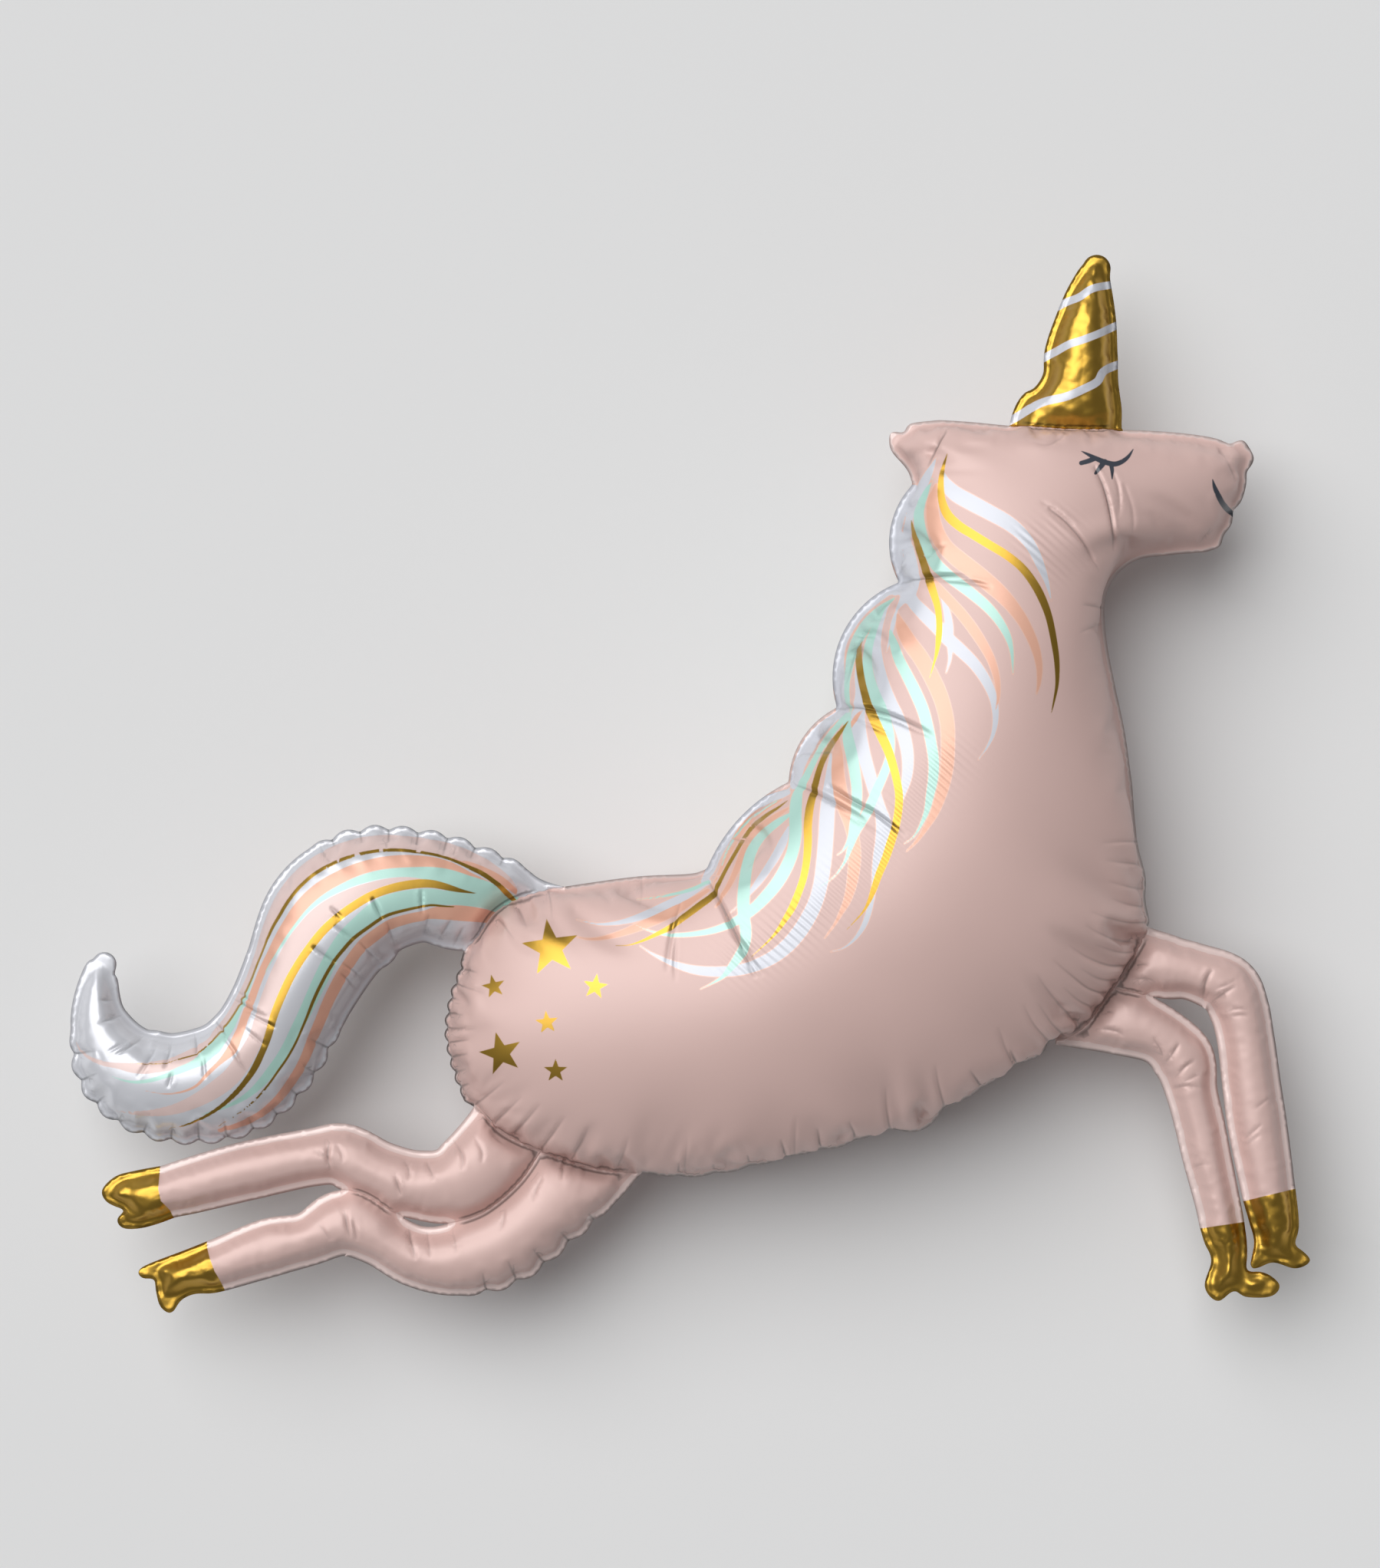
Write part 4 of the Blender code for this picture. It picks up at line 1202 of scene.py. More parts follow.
@dataclass(frozen=True)
class Gathers:
    """Grooves of uneven length that run in from the notches of a scalloped weld."""

    reach: float = 0.016
    depth: float = 0.0024
    width: float = 0.0021
    uneven: float = 0.35
    beat: float = 7.3
    beat_start: float = 40.0
    places: tuple = (0.2, 0.6, 1.0)

    def along(self, line: Points, frill: Frill) -> list[Crease]:
        """The grooves of one weld.

        Args:
            line: The weld's line, in metres, with the air on its right.
            frill: Its scallops.

        Returns:
            A crease for each notch, or none on a plain weld.
        """
        if not frill.depth:
            return []
        along = Curve.lengths(line)
        start, end = frill.start * along[-1], frill.end * along[-1]
        count = round((end - start) / frill.pitch)
        notches = np.linspace(start, end, count + 1)[1:-1]
        spots = Curve.read(notches, along, line[:, :2])
        inward = Curve.read(notches, along, -Curve.left(line))
        beats = np.sin(self.beat * np.arange(len(notches)) + self.beat_start * line[0, 0])
        creases = []
        for spot, way, reach in zip(spots, inward, self.reach * (1 + self.uneven * beats)):
            route = (spot + np.outer(self.places, way * reach)) / (SIZES.length / 1000)
            creases.append(Crease(tuple(map(tuple, route)), self.depth, self.width, True))
        return creases

    def everywhere(self) -> list[Crease]:
        """The grooves of every scalloped weld."""
        creases = []
        for points, frill in TRUNK.stretches:
            creases += self.along(Curve.drawn(points), frill)
        for limb in LIMBS:
            left_side, right_side = limb.sides()
            creases += self.along(left_side, limb.left) + self.along(right_side, limb.right.turned())
        return creases


def creases(rows: Iterable[tuple], at_weld: bool = False) -> tuple[Crease, ...]:
    """Creases from rows of numbers.

    Args:
        rows: For each crease its depth and width in millimetres, then the x and y of its points.
        at_weld: Whether they begin in a weld.

    Returns:
        The creases.
    """
    return tuple(Crease(tuple(zip(row[2::2], row[3::2])), row[0] / 1000, row[1] / 1000, at_weld)
                 for row in rows)


def across_tail(place: float, first: float, last: float, lean: float, depth: float = 0.0013,
                width: float = 0.0016) -> Crease:
    """A crease across the tail.

    Args:
        place: Its place along the tail, from 0 at the root to 1 at the tip.
        first: Where it begins across the tail, from -1 below to 1 above.
        last: Where it ends.
        lean: How much further along the tail it ends.
        depth: How deep it is, in metres.
        width: How wide it is, in metres.

    Returns:
        The crease.
    """
    spine = Curve.smooth(TAIL.spine)
    along = Curve.lengths(spine) / Curve.lengths(spine)[-1]
    places = place + lean * np.linspace(0, 1, 4)
    x, y, half, side_x, side_y = Curve.read(places, along, np.hstack([spine, Curve.left(spine)])).T
    share = np.linspace(first, last, 4) * half
    return Crease(tuple(zip(x - side_x * share, y - side_y * share)), depth, width)


FACE_CREASES = creases((
    (2.5, 1.6, 326, 255, 333, 240, 338, 222, 341, 203, 341, 188, 338, 171),
    (1.2, 1.6, 341, 250, 345, 238, 346, 222, 344, 208),
    (2.2, 1.8, 290, 221, 303, 211, 315, 197, 324, 182, 331, 164),
    (1.0, 1.2, 318, 190, 326, 178, 332, 165),
    (0.7, 1.4, 283, 227, 296, 219, 306, 209),
    (2.4, 1.9, 206, 284, 200, 275, 194, 262, 187, 246),
    (0.8, 1.2, 196, 272, 192, 264, 191, 258),
    (0.8, 1.7, 350, 240, 356, 222, 357, 206, 352, 190),
    (1.2, 1.6, 432, 262, 438, 250, 440, 238),
    (1.0, 1.4, 425, 270, 431, 264, 436, 256),
    (1.0, 1.4, 412, 196, 418, 202, 421, 210),
    (1.2, 1.6, 318, 144, 330, 142, 336, 140),
    (0.9, 1.4, 315, 122, 327, 127, 335, 130),
    (0.9, 1.6, 303, 283, 296, 277, 285, 273, 262, 279),
))
MANE_CREASES = creases((
    (2.2, 2.2, 170, 161, 185, 165.5, 205, 167, 222, 166, 236, 162),
    (1.4, 1.9, 200, 164, 218, 163, 236, 160, 252, 154),
    (0.8, 1.8, 190, 181, 199, 189, 212, 196),
    (2.4, 2.2, 120, 60, 140, 61, 155, 57, 175, 49, 195, 39, 215, 26),
    (1.2, 1.8, 146, 56, 165, 50, 185, 41, 206, 32),
    (0.7, 1.8, 130, 52, 150, 44, 170, 34),
    (2.0, 2.2, 84, -1, 98, -6, 118, -17, 138, -29, 152, -38),
    (2.0, 2.0, 112, -3, 130, -14, 150, -25, 170, -39, 184, -50),
    (0.8, 1.8, 120, -22, 142, -36, 158, -50),
    (2.6, 2.2, 15, -80, 24, -97, 34, -118, 44, -138, 52, -156, 58, -168),
    (1.3, 1.8, 38, -122, 50, -142, 62, -165),
    (1.4, 2.0, -9, -97, -15, -118, -19, -142, -20, -166),
    (0.8, 1.8, -12, -120, -13, -145, -12, -170),
    (1.5, 2.0, 142, 122, 135, 112, 130, 98, 126, 82, 124, 72),
    (1.0, 1.8, 163, 148, 154, 140, 146, 129),
    (1.4, 1.8, 116, 52, 106, 38, 98, 24, 91, 10),
    (1.3, 1.8, 66, -14, 50, -25, 38, -40, 27, -58),
    (0.9, 2.0, 173, 176, 169, 170, 171, 164),
))
LEG_CREASES = creases((
    (2.0, 2.0, 413, -172, 415, -162, 419, -153, 425, -148),
    (1.6, 1.9, 421, -176, 431, -169, 446, -160),
    (0.9, 1.6, 424, -166, 434, -162, 443, -155),
    (1.0, 1.5, 431, -184, 442, -182, 455, -184),
    (0.8, 1.5, 436, -188, 446, -187, 453, -190),
    (0.8, 1.5, 456, -262, 463, -257, 470, -251),
    (1.0, 1.5, 446, -287, 455, -280, 465, -271),
    (0.6, 1.5, 449, -291, 456, -286, 462, -281),
    (1.4, 1.8, 374, -207, 379, -216, 381, -226),
    (1.6, 1.8, 384, -224, 391, -215, 396, -206),
    (1.4, 1.8, 392, -236, 400, -228, 412, -221),
    (0.9, 1.5, 396, -242, 406, -237, 415, -233),
    (1.0, 1.5, 390, -246, 403, -244, 419, -247),
    (0.7, 1.5, 406, -310, 414, -307, 423, -309),
    (2.2, 2.0, -292, -290, -293, -303, -289, -319),
    (1.0, 1.6, -303, -297, -295, -302, -288, -309),
    (1.0, 1.7, -285, -292, -281, -301, -282, -311),
    (1.8, 1.9, -238, -318, -236, -327, -232, -336),
    (1.2, 1.7, -230, -306, -227, -314, -229, -325),
    (1.2, 1.7, -213, -306, -209, -315, -207, -325),
    (1.4, 2.0, -190, -290, -184, -303, -186, -318),
    (1.6, 2.2, -165, -268, -157, -283, -146, -294),
    (1.4, 2.0, -148, -264, -139, -277, -128, -286),
    (1.0, 1.8, -174, -286, -168, -298, -170, -312),
    (2.0, 2.0, -279, -347, -277, -359, -274, -373),
    (1.2, 1.7, -272, -354, -270, -363, -269, -373),
    (0.9, 1.6, -300, -356, -294, -364, -288, -371),
    (1.8, 1.9, -227, -361, -224, -375, -221, -391),
    (1.2, 1.7, -213, -362, -211, -375, -209, -388),
    (1.0, 1.7, -192, -361, -190, -372, -189, -385),
    (1.0, 1.7, -150, -345, -152, -355, -155, -366),
    (1.2, 1.9, -120, -318, -126, -330, -128, -343),
    (1.4, 2.0, -96, -298, -103, -311, -104, -325),
    (1.4, 2.0, -70, -290, -80, -300, -85, -314),
    (1.4, 2.0, 352, -150, 362, -146, 374, -147),
    (1.2, 1.8, 356, -158, 368, -158, 380, -162),
    (1.4, 2.0, 322, -186, 334, -184, 346, -186),
    (1.2, 1.8, 330, -198, 343, -200, 354, -206),
))
RIBBED = ((((205, 18), (192, 2), (160, -40), (124, -82), (86, -116), (40, -140)), 20),
          (((300, 205), (316, 180)), 14), (((276, 196), (296, 172)), 12))
BODY_CREASES = creases((
    (1.8, 2.6, 371, -112, 355, -113, 338, -109, 322, -103),
    (1.6, 2.4, 370, -100, 354, -98, 338, -92),
    (1.4, 2.3, 368, -86, 352, -83, 336, -79),
    (1.5, 2.3, 365, -66, 350, -64, 334, -62),
    (1.2, 2.2, 361, -47, 347, -47, 330, -48),
    (1.9, 2.6, 367, -124, 350, -127, 332, -122, 318, -114),
    (1.7, 2.4, 362, -136, 344, -136, 326, -130),
    (2.0, 2.6, 354, -148, 338, -147, 320, -140, 304, -130),
    (1.8, 2.4, 347, -160, 330, -158, 314, -149),
    (2.1, 2.6, 339, -171, 322, -166, 306, -154, 292, -142),
    (1.8, 2.4, 329, -183, 314, -176, 300, -164),
    (2.1, 2.6, 319, -196, 304, -186, 290, -170, 279, -154),
    (1.8, 2.4, 303, -206, 291, -193, 280, -177),
    (1.6, 2.4, 289, -209, 277, -195, 268, -178),
    (1.6, 2.4, 262, -230, 254, -214, 248, -196),
    (1.8, 2.6, 205, -262, 200, -244, 197, -226),
    (1.8, 2.6, 161, -280, 158, -262, 157, -244),
    (1.2, 2.4, 84, -301, 84, -284, 85, -268),
    (1.2, 2.4, -5, -318, -4, -300, -3, -284),
    (1.4, 2.4, -60, -314, -54, -298, -50, -284),
    (1.8, 2.4, -98, -306, -88, -290, -82, -276),
    (1.9, 2.4, -122, -297, -110, -281, -101, -268),
    (2.0, 2.5, -145, -286, -132, -271, -121, -258),
    (1.8, 2.4, -160, -276, -146, -262, -136, -252),
    (1.9, 2.4, -176, -261, -162, -250, -150, -240),
    (1.4, 2.4, -198, -200, -184, -199, -172, -198),
    (1.4, 2.4, -190, -162, -177, -166, -166, -170),
    (1.8, 2.5, -160, -106, -150, -116, -142, -126),
    (1.8, 2.4, -142, -94, -136, -106, -132, -118),
    (1.4, 2.2, -115, -86, -113, -98, -112, -110),
    (1.0, 2.2, -40, -75, -40, -88, -41, -100),
), at_weld=True)
TAIL_CREASES = tuple(across_tail(*row) for row in (
    (0.165, -0.90, -0.45, -0.010), (0.180, -0.85, -0.35, -0.008), (0.215, -0.85, -0.40, -0.006),
    (0.228, -0.45, 0.05, 0.004), (0.296, -0.85, -0.40, 0.002), (0.306, -0.40, 0.02, 0.003, 0.0018),
    (0.366, -0.05, 0.22, 0.002), (0.384, -0.85, -0.40, -0.012), (0.380, -0.38, 0.0, 0.004),
    (0.438, -0.85, -0.38, -0.010), (0.434, -0.35, 0.16, -0.008, 0.0018), (0.455, -0.82, -0.45, -0.012),
    (0.540, 0.88, 0.55, 0.006), (0.553, 0.85, 0.10, 0.002, 0.0018), (0.562, 0.55, -0.12, 0.0),
    (0.590, 0.45, -0.10, 0.004), (0.617, 0.92, 0.55, 0.008, 0.0018), (0.628, 0.60, 0.05, 0.010),
    (0.638, 0.30, -0.22, 0.003), (0.700, 0.45, 0.02, 0.004), (0.708, 0.85, 0.45, 0.004, 0.0018),
    (0.757, 0.25, -0.10, 0.004), (0.770, 0.75, 0.20, 0.004, 0.0016), (0.805, 0.62, -0.20, 0.004),
    (0.852, 0.72, -0.15, 0.004, 0.0016), (0.865, 0.40, -0.25, 0.0), (0.912, 0.70, -0.30, -0.002, 0.0016),
    (0.945, 0.60, 0.0, 0.0), (0.275, 0.80, 0.60, 0.0), (0.20, 0.86, 0.62, 0.0), (0.335, 0.92, 0.60, 0.0),
))


class Wave:
    """A smooth wavering of one number, the same each run."""

    def __init__(self, seed: int, size: int = 4096) -> None:
        self.slopes = np.random.default_rng(seed).uniform(-1, 1, size)

    def at(self, place: Points) -> Points:
        """The value at each place, between about -0.6 and 0.6, and zero at whole numbers."""
        whole = np.floor(place)
        t = place - whole
        size = len(self.slopes)
        before = self.slopes[whole.astype(int) % size]
        after = self.slopes[(whole.astype(int) + 1) % size]
        fade = t**3 * (t * (6 * t - 15) + 10)
        return (1 - fade) * before * t + fade * after * (t - 1)


class WeldWay:
    """Places along the balloon's welds as one running length, a metre more from each weld to the next."""

    def __init__(self, plan: Plan) -> None:
        edges, corners = plan.edges, plan.corners
        size = np.linalg.norm(corners[edges[:, 1]] - corners[edges[:, 0]], axis=1)
        meeting: dict[int, list] = {}
        for number, (a, b) in enumerate(edges.tolist()):
            meeting.setdefault(a, []).append((number, b))
            meeting.setdefault(b, []).append((number, a))
        self.first, self.last = np.zeros(len(edges)), np.zeros(len(edges))
        done = np.zeros(len(edges), bool)
        running = 0.0
        forks = [corner for corner in meeting if len(meeting[corner]) != 2]
        for start in forks + list(meeting):
            for number, other in meeting[start]:
                here, following = start, (number, other)
                while following and not done[following[0]]:
                    number, other = following
                    done[number] = True
                    ends = (running, running + size[number])
                    forward = edges[number, 0] == here
                    self.first[number], self.last[number] = ends if forward else ends[::-1]
                    running, here = ends[1], other
                    ways = [way for way in meeting[here] if not done[way[0]]]
                    following = ways[0] if len(meeting[here]) == 2 and ways else None
                running += 1.0
        self.starts, self.ends = corners[edges[:, 0]], corners[edges[:, 1]]

    def place(self, flat: Points) -> Points:
        """The running length at the nearest weld to each point."""
        _, edge, share, _ = Plane.nearest(flat, self.starts, self.ends)
        return self.first[edge] + share * (self.last[edge] - self.first[edge])


@dataclass(frozen=True)
class Puckers:
    """The small folds that run from a weld into the film, and the ripple of the weld itself, in metres.

    How deep and how long a fold is varies along the weld by a mean share, a swing, the swing's pitch in
    pitches of the folds and its start.
    """

    pitch: float = 0.0105
    depth: float = 0.0011
    reach: float = 0.020
    sharp: float = 0.26
    chamber_apart: float = 61.7
    bend: float = 0.9
    bend_pitches: float = 3.1
    lean: float = 0.25
    lean_pitch: float = 0.09
    deep: tuple = (0.55, 1.3, 1.7, 0.37)
    long: tuple = (0.75, 1.5, 2.3, 0.61)
    mean_fold: float = 0.4
    start: float = 0.0025
    least_reach: float = 0.004
    ending: float = 1.5
    ripple: float = 0.0016
    ripple_pitches: tuple = (0.030, 0.012)
    second_ripple: float = 0.5
    ripple_reach: float = 0.014

    def varied(self, wave: Wave, ways: Points, how: tuple) -> Points:
        """A share that varies along the welds."""
        mean, swing, pitches, start = how
        return mean + swing * wave.at(ways / (pitches * self.pitch) + start)

    def form(self, place: Points, away: Points, chamber: Points, seed: int) -> Points:
        """How far the film stands out, negative in a fold.

        Args:
            place: The running length along the welds.
            away: The distance from the weld.
            chamber: The number of each point's chamber.
            seed: Which set of folds.

        Returns:
            The height at each point.
        """
        turn, strength, length = Wave(seed), Wave(seed + 1), Wave(seed + 2)
        ways = place + self.chamber_apart * (chamber + 1)
        bent = ways / self.pitch + self.bend * turn.at(ways / (self.bend_pitches * self.pitch))
        bent += self.lean * away / self.pitch * strength.at(ways / self.lean_pitch)
        fold = np.exp(-(turn.at(bent) / self.sharp)**2)
        reach = self.reach * self.varied(length, ways, self.long)
        inside = np.clip(away, 0, None)
        ending = np.exp(-(inside / np.maximum(reach, self.least_reach))**self.ending)
        fade = (1 - np.exp(-inside / self.start)) * ending
        return -self.depth * self.varied(strength, ways, self.deep) * (fold - self.mean_fold) * fade

    def rise(self, place: Points, from_outline: Points, seed: int) -> Points:
        """How far the whole edge of the balloon wavers up and down."""
        first, second = (Wave(seed + k).at(place / pitch) for k, pitch in enumerate(self.ripple_pitches))
        near = np.exp(-(np.clip(from_outline, 0, None) / self.ripple_reach)**2)
        return self.ripple * (first + self.second_ripple * second) * near


@dataclass(frozen=True)
class Crumple:
    """Sharp small folds in every direction, as on gold film that holds little air.

    They lie across the horn's base, along its rim and, weaker, on the gold tips of the limbs.
    """

    pitches: tuple = (0.026, 0.019, 0.013, 0.0095)
    depth: float = 0.0013
    seed: int = 80
    first_turn: float = 0.8
    next_turn: float = 2.3
    bend: float = 0.6
    bend_pitches: float = 1.7
    gold_start: float = -0.006
    gold_run: float = 0.008
    on_tips: float = 0.28
    on_base: float = 0.9
    base: float = 0.310
    base_reach: float = 0.021
    on_rim: float = 0.85
    rim_reach: float = 0.007
    edge_reach: float = 0.0015
    at_edge: float = 0.4

    def folds(self, seen: Points) -> Points:
        """The folds of all pitches together, each a share of the widest one's depth."""
        out = np.zeros(len(seen))
        for k, pitch in enumerate(self.pitches):
            angle = self.first_turn + self.next_turn * k
            along = seen @ (math.cos(angle), math.sin(angle))
            across = seen @ (-math.sin(angle), math.cos(angle))
            bend = self.bend * pitch * Wave(self.seed + k).at(across / (self.bend_pitches * pitch))
            turn = (along + bend) / pitch
            out += pitch / self.pitches[0] * (4 * np.abs(turn % 1 - 0.5) - 1)
        return out

    def form(self, envelope: "Envelope") -> Points:
        """How far the crumpled film stands up.

        Args:
            envelope: The films.

        Returns:
            The height at each point, for both films.
        """
        gold = np.clip((envelope.artwork.depths[Ink.GOLD] - self.gold_start) / self.gold_run, 0, 1)
        tips = np.isin(envelope.chamber, [tip.limb.number for tip in GOLD_TIPS])
        base = self.on_base * np.exp(-((envelope.seen[:, 1] - self.base) / self.base_reach)**2)
        rim = self.on_rim * np.exp(-(np.clip(envelope.from_outline, 0, None) / self.rim_reach)**4)
        horn = (envelope.chamber == HORN.number) * np.maximum(base, rim)
        strong = np.where(tips, self.on_tips * gold, horn)
        edge = np.clip(envelope.from_outline / self.edge_reach, self.at_edge, 1)
        return self.depth * self.folds(envelope.seen) * strong * edge


class Side(Enum):
    """Which of the two films."""

    FRONT = 1
    BACK = -1


class Envelope:
    """The two films of the balloon at their full fineness, ready to be parted into chambers."""

    seeds = {Side.FRONT: 20, Side.BACK: 40}
    ripple_seed = 60
    fine_gold = -0.003
    fine_crease = 2.2
    unfolded = 0.01
    # The painted shade along the joints between chambers, and along the turned-under rim of the belly and the
    # rump.
    joint_line, joint_start, joint_run = 0.004, 0.009, 0.006
    rim_line, rim_share = 0.0035, 0.5
    loosening, film_start, floor_round = 0.004, 0.002, 0.0008
    low_start, low_run, chest_start, chest_slope = -0.075, 0.05, 0.30, 0.35

    def __init__(self, work: Slack = Slack(), puckers: Puckers = Puckers()) -> None:
        low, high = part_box(NODE)
        self.half = (high[2] - low[2] + SIZES.rest_depth) / 2
        self.middle = high[2] - self.half
        self.plan = Plan()
        film = FrontFilm(self.plan, self.half)
        worked = film.worked(work)
        values = np.column_stack([film.flat, film.from_outline, film.from_weld])
        limbs = [limb.number for limb in LIMBS]
        self.creases = (([TRUNK.number], FACE_CREASES + MANE_CREASES + BODY_CREASES),
                        ([TAIL.number], TAIL_CREASES), (limbs, LEG_CREASES),
                        ([TRUNK.number] + limbs, Gathers().everywhere()))
        base = Sheet(worked, film.triangles, values, film.chambers).subdivided()
        self.measure(base)
        self.back_triangles, self.back_chamber = base.triangles, base.chambers
        sheet = base
        for away in SIZES.finer_near:
            sheet = sheet.refined(self.fine_places(away) & ~self.on_border)
            self.measure(sheet)
        near = np.flatnonzero(self.from_weld < SIZES.pucker_room)
        self.place = np.zeros(len(self.flat))
        self.place[near] = WeldWay(self.plan).place(self.flat[near])
        centre = (self.plan.corners.min(axis=0) + self.plan.corners.max(axis=0)) / 2
        self.shift = (np.array(low[:2]) + np.array(high[:2])) / 2 - centre
        self.fold()
        self.crumple = Crumple().form(self)
        self.sides = {side: self.film(sheet, side, puckers) for side in Side}
        LOG.info("envelope: %d triangles in front, %d behind", len(self.triangles), len(self.back_triangles))

    def measure(self, sheet: Sheet) -> None:
        """Takes a sheet's places, chambers and print."""
        self.flat, self.triangles, self.face_chamber = sheet.values[:, :2], sheet.triangles, sheet.chambers
        self.from_outline, self.from_weld = sheet.values[:, 2], sheet.values[:, 3]
        self.on_rim = sheet.rim()
        lowest = np.full(len(self.flat), len(CHAMBERS))
        self.chamber = np.zeros(len(self.flat), int)
        for k in range(3):
            np.minimum.at(lowest, self.triangles[:, k], self.face_chamber)
            np.maximum.at(self.chamber, self.triangles[:, k], self.face_chamber)
        self.on_border = self.on_rim | (lowest != self.chamber)
        rise = sheet.points[:, 2] / (SIZES.eye_height - self.middle)
        self.seen = sheet.points[:, :2] / (1 - rise)[:, None]
        self.artwork = Artwork(self.seen, self.chamber)

    def fine_places(self, away: float) -> Points:
        """Which points want finer triangles: near an ink's edge, in a crease or on crumpled gold film."""
        first = away == SIZES.finer_near[0]
        fine = self.artwork.edge_near(away, tuple(Ink) if first else (Ink.GOLD, Ink.SLATE))
        if not first:
            return fine
        fine |= ~np.isin(self.chamber, (TRUNK.number, TAIL.number)) & (
            self.artwork.depths[Ink.GOLD] > self.fine_gold)
        for crease, near in self.creased():
            far = Plane.along(self.seen[near], crease.line())[0]
            fine[near[far < self.fine_crease * crease.width]] = True
        return fine

    def creased(self) -> Iterator[tuple[Crease, Points]]:
        """Each crease with the points that it can reach."""
        for numbers, group in self.creases:
            own = np.isin(self.chamber, numbers)
            for crease in group:
                near = crease.near(self.seen)
                near = near[own[near]]
                if len(near):
                    yield crease, near

    def fold(self) -> None:
        """Folds the front film along the creases, and paints shade: a dark line in each crease, along the
        joints between chambers and along the turned-under rim of the belly and the rump.
        """
        self.fold_rise, self.fold_strong = np.zeros(len(self.seen)), np.zeros(len(self.seen))
        self.fold_side = np.full(len(self.seen), self.unfolded)
        for crease, near in self.creased():
            rise, strong, side = crease.form(self.seen[near])
            self.fold_rise[near] += rise
            # Painted shade in the bottom of each crease.
            self.darken(near, strong, side)
        everywhere = np.arange(len(self.seen))
        # Painted shade along the welds between chambers, where the legs, tail and horn pinch into the trunk.
        inner = np.clip((self.from_outline - self.joint_start) / self.joint_run, 0, 1)
        self.darken(everywhere, np.exp(-(self.from_weld / self.joint_line)**2) * inner, self.from_weld)
        # Painted shade along the turned-under rim of the belly and the rump.
        self.darken(everywhere, self.below() * (self.from_outline < self.rim_line),
                    self.rim_share * self.from_outline)

    def darken(self, near: Points, strong: Points, side: Points) -> None:
        """Takes a line of painted shade where it is stronger than what is there already.

        Args:
            near: The numbers of the points that it reaches.
            strong: How strong it is at each.
            side: How far to its side each lies.
        """
        stronger = strong > self.fold_strong[near]
        self.fold_strong[near[stronger]] = strong[stronger]
        self.fold_side[near[stronger]] = side[stronger]

    def film(self, sheet: Sheet, side: Side, puckers: Puckers) -> Points:
        """One film's points in the frame.

        Args:
            sheet: The worked film, facing up from the middle plane.
            side: Which film it is.
            puckers: The small folds.

        Returns:
            The points.
        """
        out = puckers.form(self.place, self.from_weld, self.chamber, self.seeds[side])
        if side is Side.FRONT:
            out += self.fold_rise
        loose = np.clip(self.from_weld / self.loosening, 0, 1)
        points = sheet.points + sheet.normals() * (out * loose)[:, None]
        flat_film = SIZES.film * np.clip(self.from_outline / self.film_start, 0, 1)
        points[:, 2] = np.where(self.on_rim, 0, np.maximum(points[:, 2], flat_film))
        points[:, 2] *= side.value
        ripple = puckers.rise(self.place, self.from_outline, self.ripple_seed)
        points[:, 2] += ripple + self.crumple - self.turned_under()
        points[:, :2] += self.shift
        points[:, 2] += self.middle
        if side is Side.BACK:
            points[:, 2] = (points[:, 2] + np.sqrt(points[:, 2]**2 + self.floor_round**2)) / 2
        return points

    def ribs(self) -> Points:
        """How strong the film's fine ribs are at each point of the front."""
        strong = np.zeros(len(self.seen))
        for path, reach in RIBBED:
            far = Plane.along(self.seen, Curve.metres(path))[0]
            strong = np.maximum(strong, np.exp(-(far / (reach * SIZES.length / 1000))**2))
        return strong * (self.chamber == TRUNK.number)

    def below(self) -> Points:
        """How far each point counts to the belly and the rump, whose weld is turned under."""
        x, y = self.seen.T
        chest = self.chest_slope * np.clip(x - self.chest_start, 0, None)
        return np.clip((self.low_start - y + chest) / self.low_run, 0, 1) * (self.chamber == TRUNK.number)

    def turned_under(self) -> Points:
        """How far the rim of the belly and the rump turns down."""
        rim = 1 - np.clip(self.from_outline / SIZES.turn_width, 0, 1)
        return SIZES.turn_under * self.below() * rim**2

    def piece(self, number: int) -> tuple[Points, Points, Points, Points]:
        """A chamber as a closed body.

        Args:
            number: The chamber's number.

        Returns:
            Its points, its triangles, the film's point that each of its points is, and which are on the back.
        """
        own = self.triangles[self.face_chamber == number]
        used, local = np.unique(own, return_inverse=True)
        own = local.reshape(-1, 3)
        below = self.back_triangles[self.back_chamber == number]
        behind = np.unique(below)
        behind = behind[~self.on_rim[behind]]
        new = np.full(len(self.flat), -1)
        new[used] = np.arange(len(used))
        new[behind] = len(used) + np.arange(len(behind))
        back = new[used]
        sides = np.vstack([own[:, (k, (k + 1) % 3)] for k in range(3)])
        key = np.sort(sides, axis=1)
        _, first, count = np.unique(key, axis=0, return_index=True, return_counts=True)
        a, b = sides[first[count == 1]].T
        walls = np.vstack([np.column_stack([b, a, back[a]]), np.column_stack([b, back[a], back[b]])])
        different = (walls[:, 0] != walls[:, 1]) & (walls[:, 1] != walls[:, 2]) & (walls[:, 0] != walls[:, 2])
        triangles = np.vstack([own, new[below][:, ::-1], walls[different]])
        points = np.vstack([self.sides[Side.FRONT][used], self.sides[Side.BACK][behind]])
        origin = np.concatenate([used, behind])
        on_back = np.arange(len(points)) >= len(used)
        return points, triangles, origin, on_back


Colour = tuple[float, float, float, float]


def from_screen(red: int, green: int, blue: int) -> Colour:
    """A colour as a screen shows it, from 0 to 255, as the shader's light values."""
    light = [((c / 255 + 0.055) / 1.055)**2.4 if c > 10 else c / 255 / 12.92 for c in (red, green, blue)]
    return (*light, 1.0)


@dataclass(frozen=True)
class InkFinish:
    """How one ink looks on the film."""

    colour: Colour
    roughness: float
    metallic: float


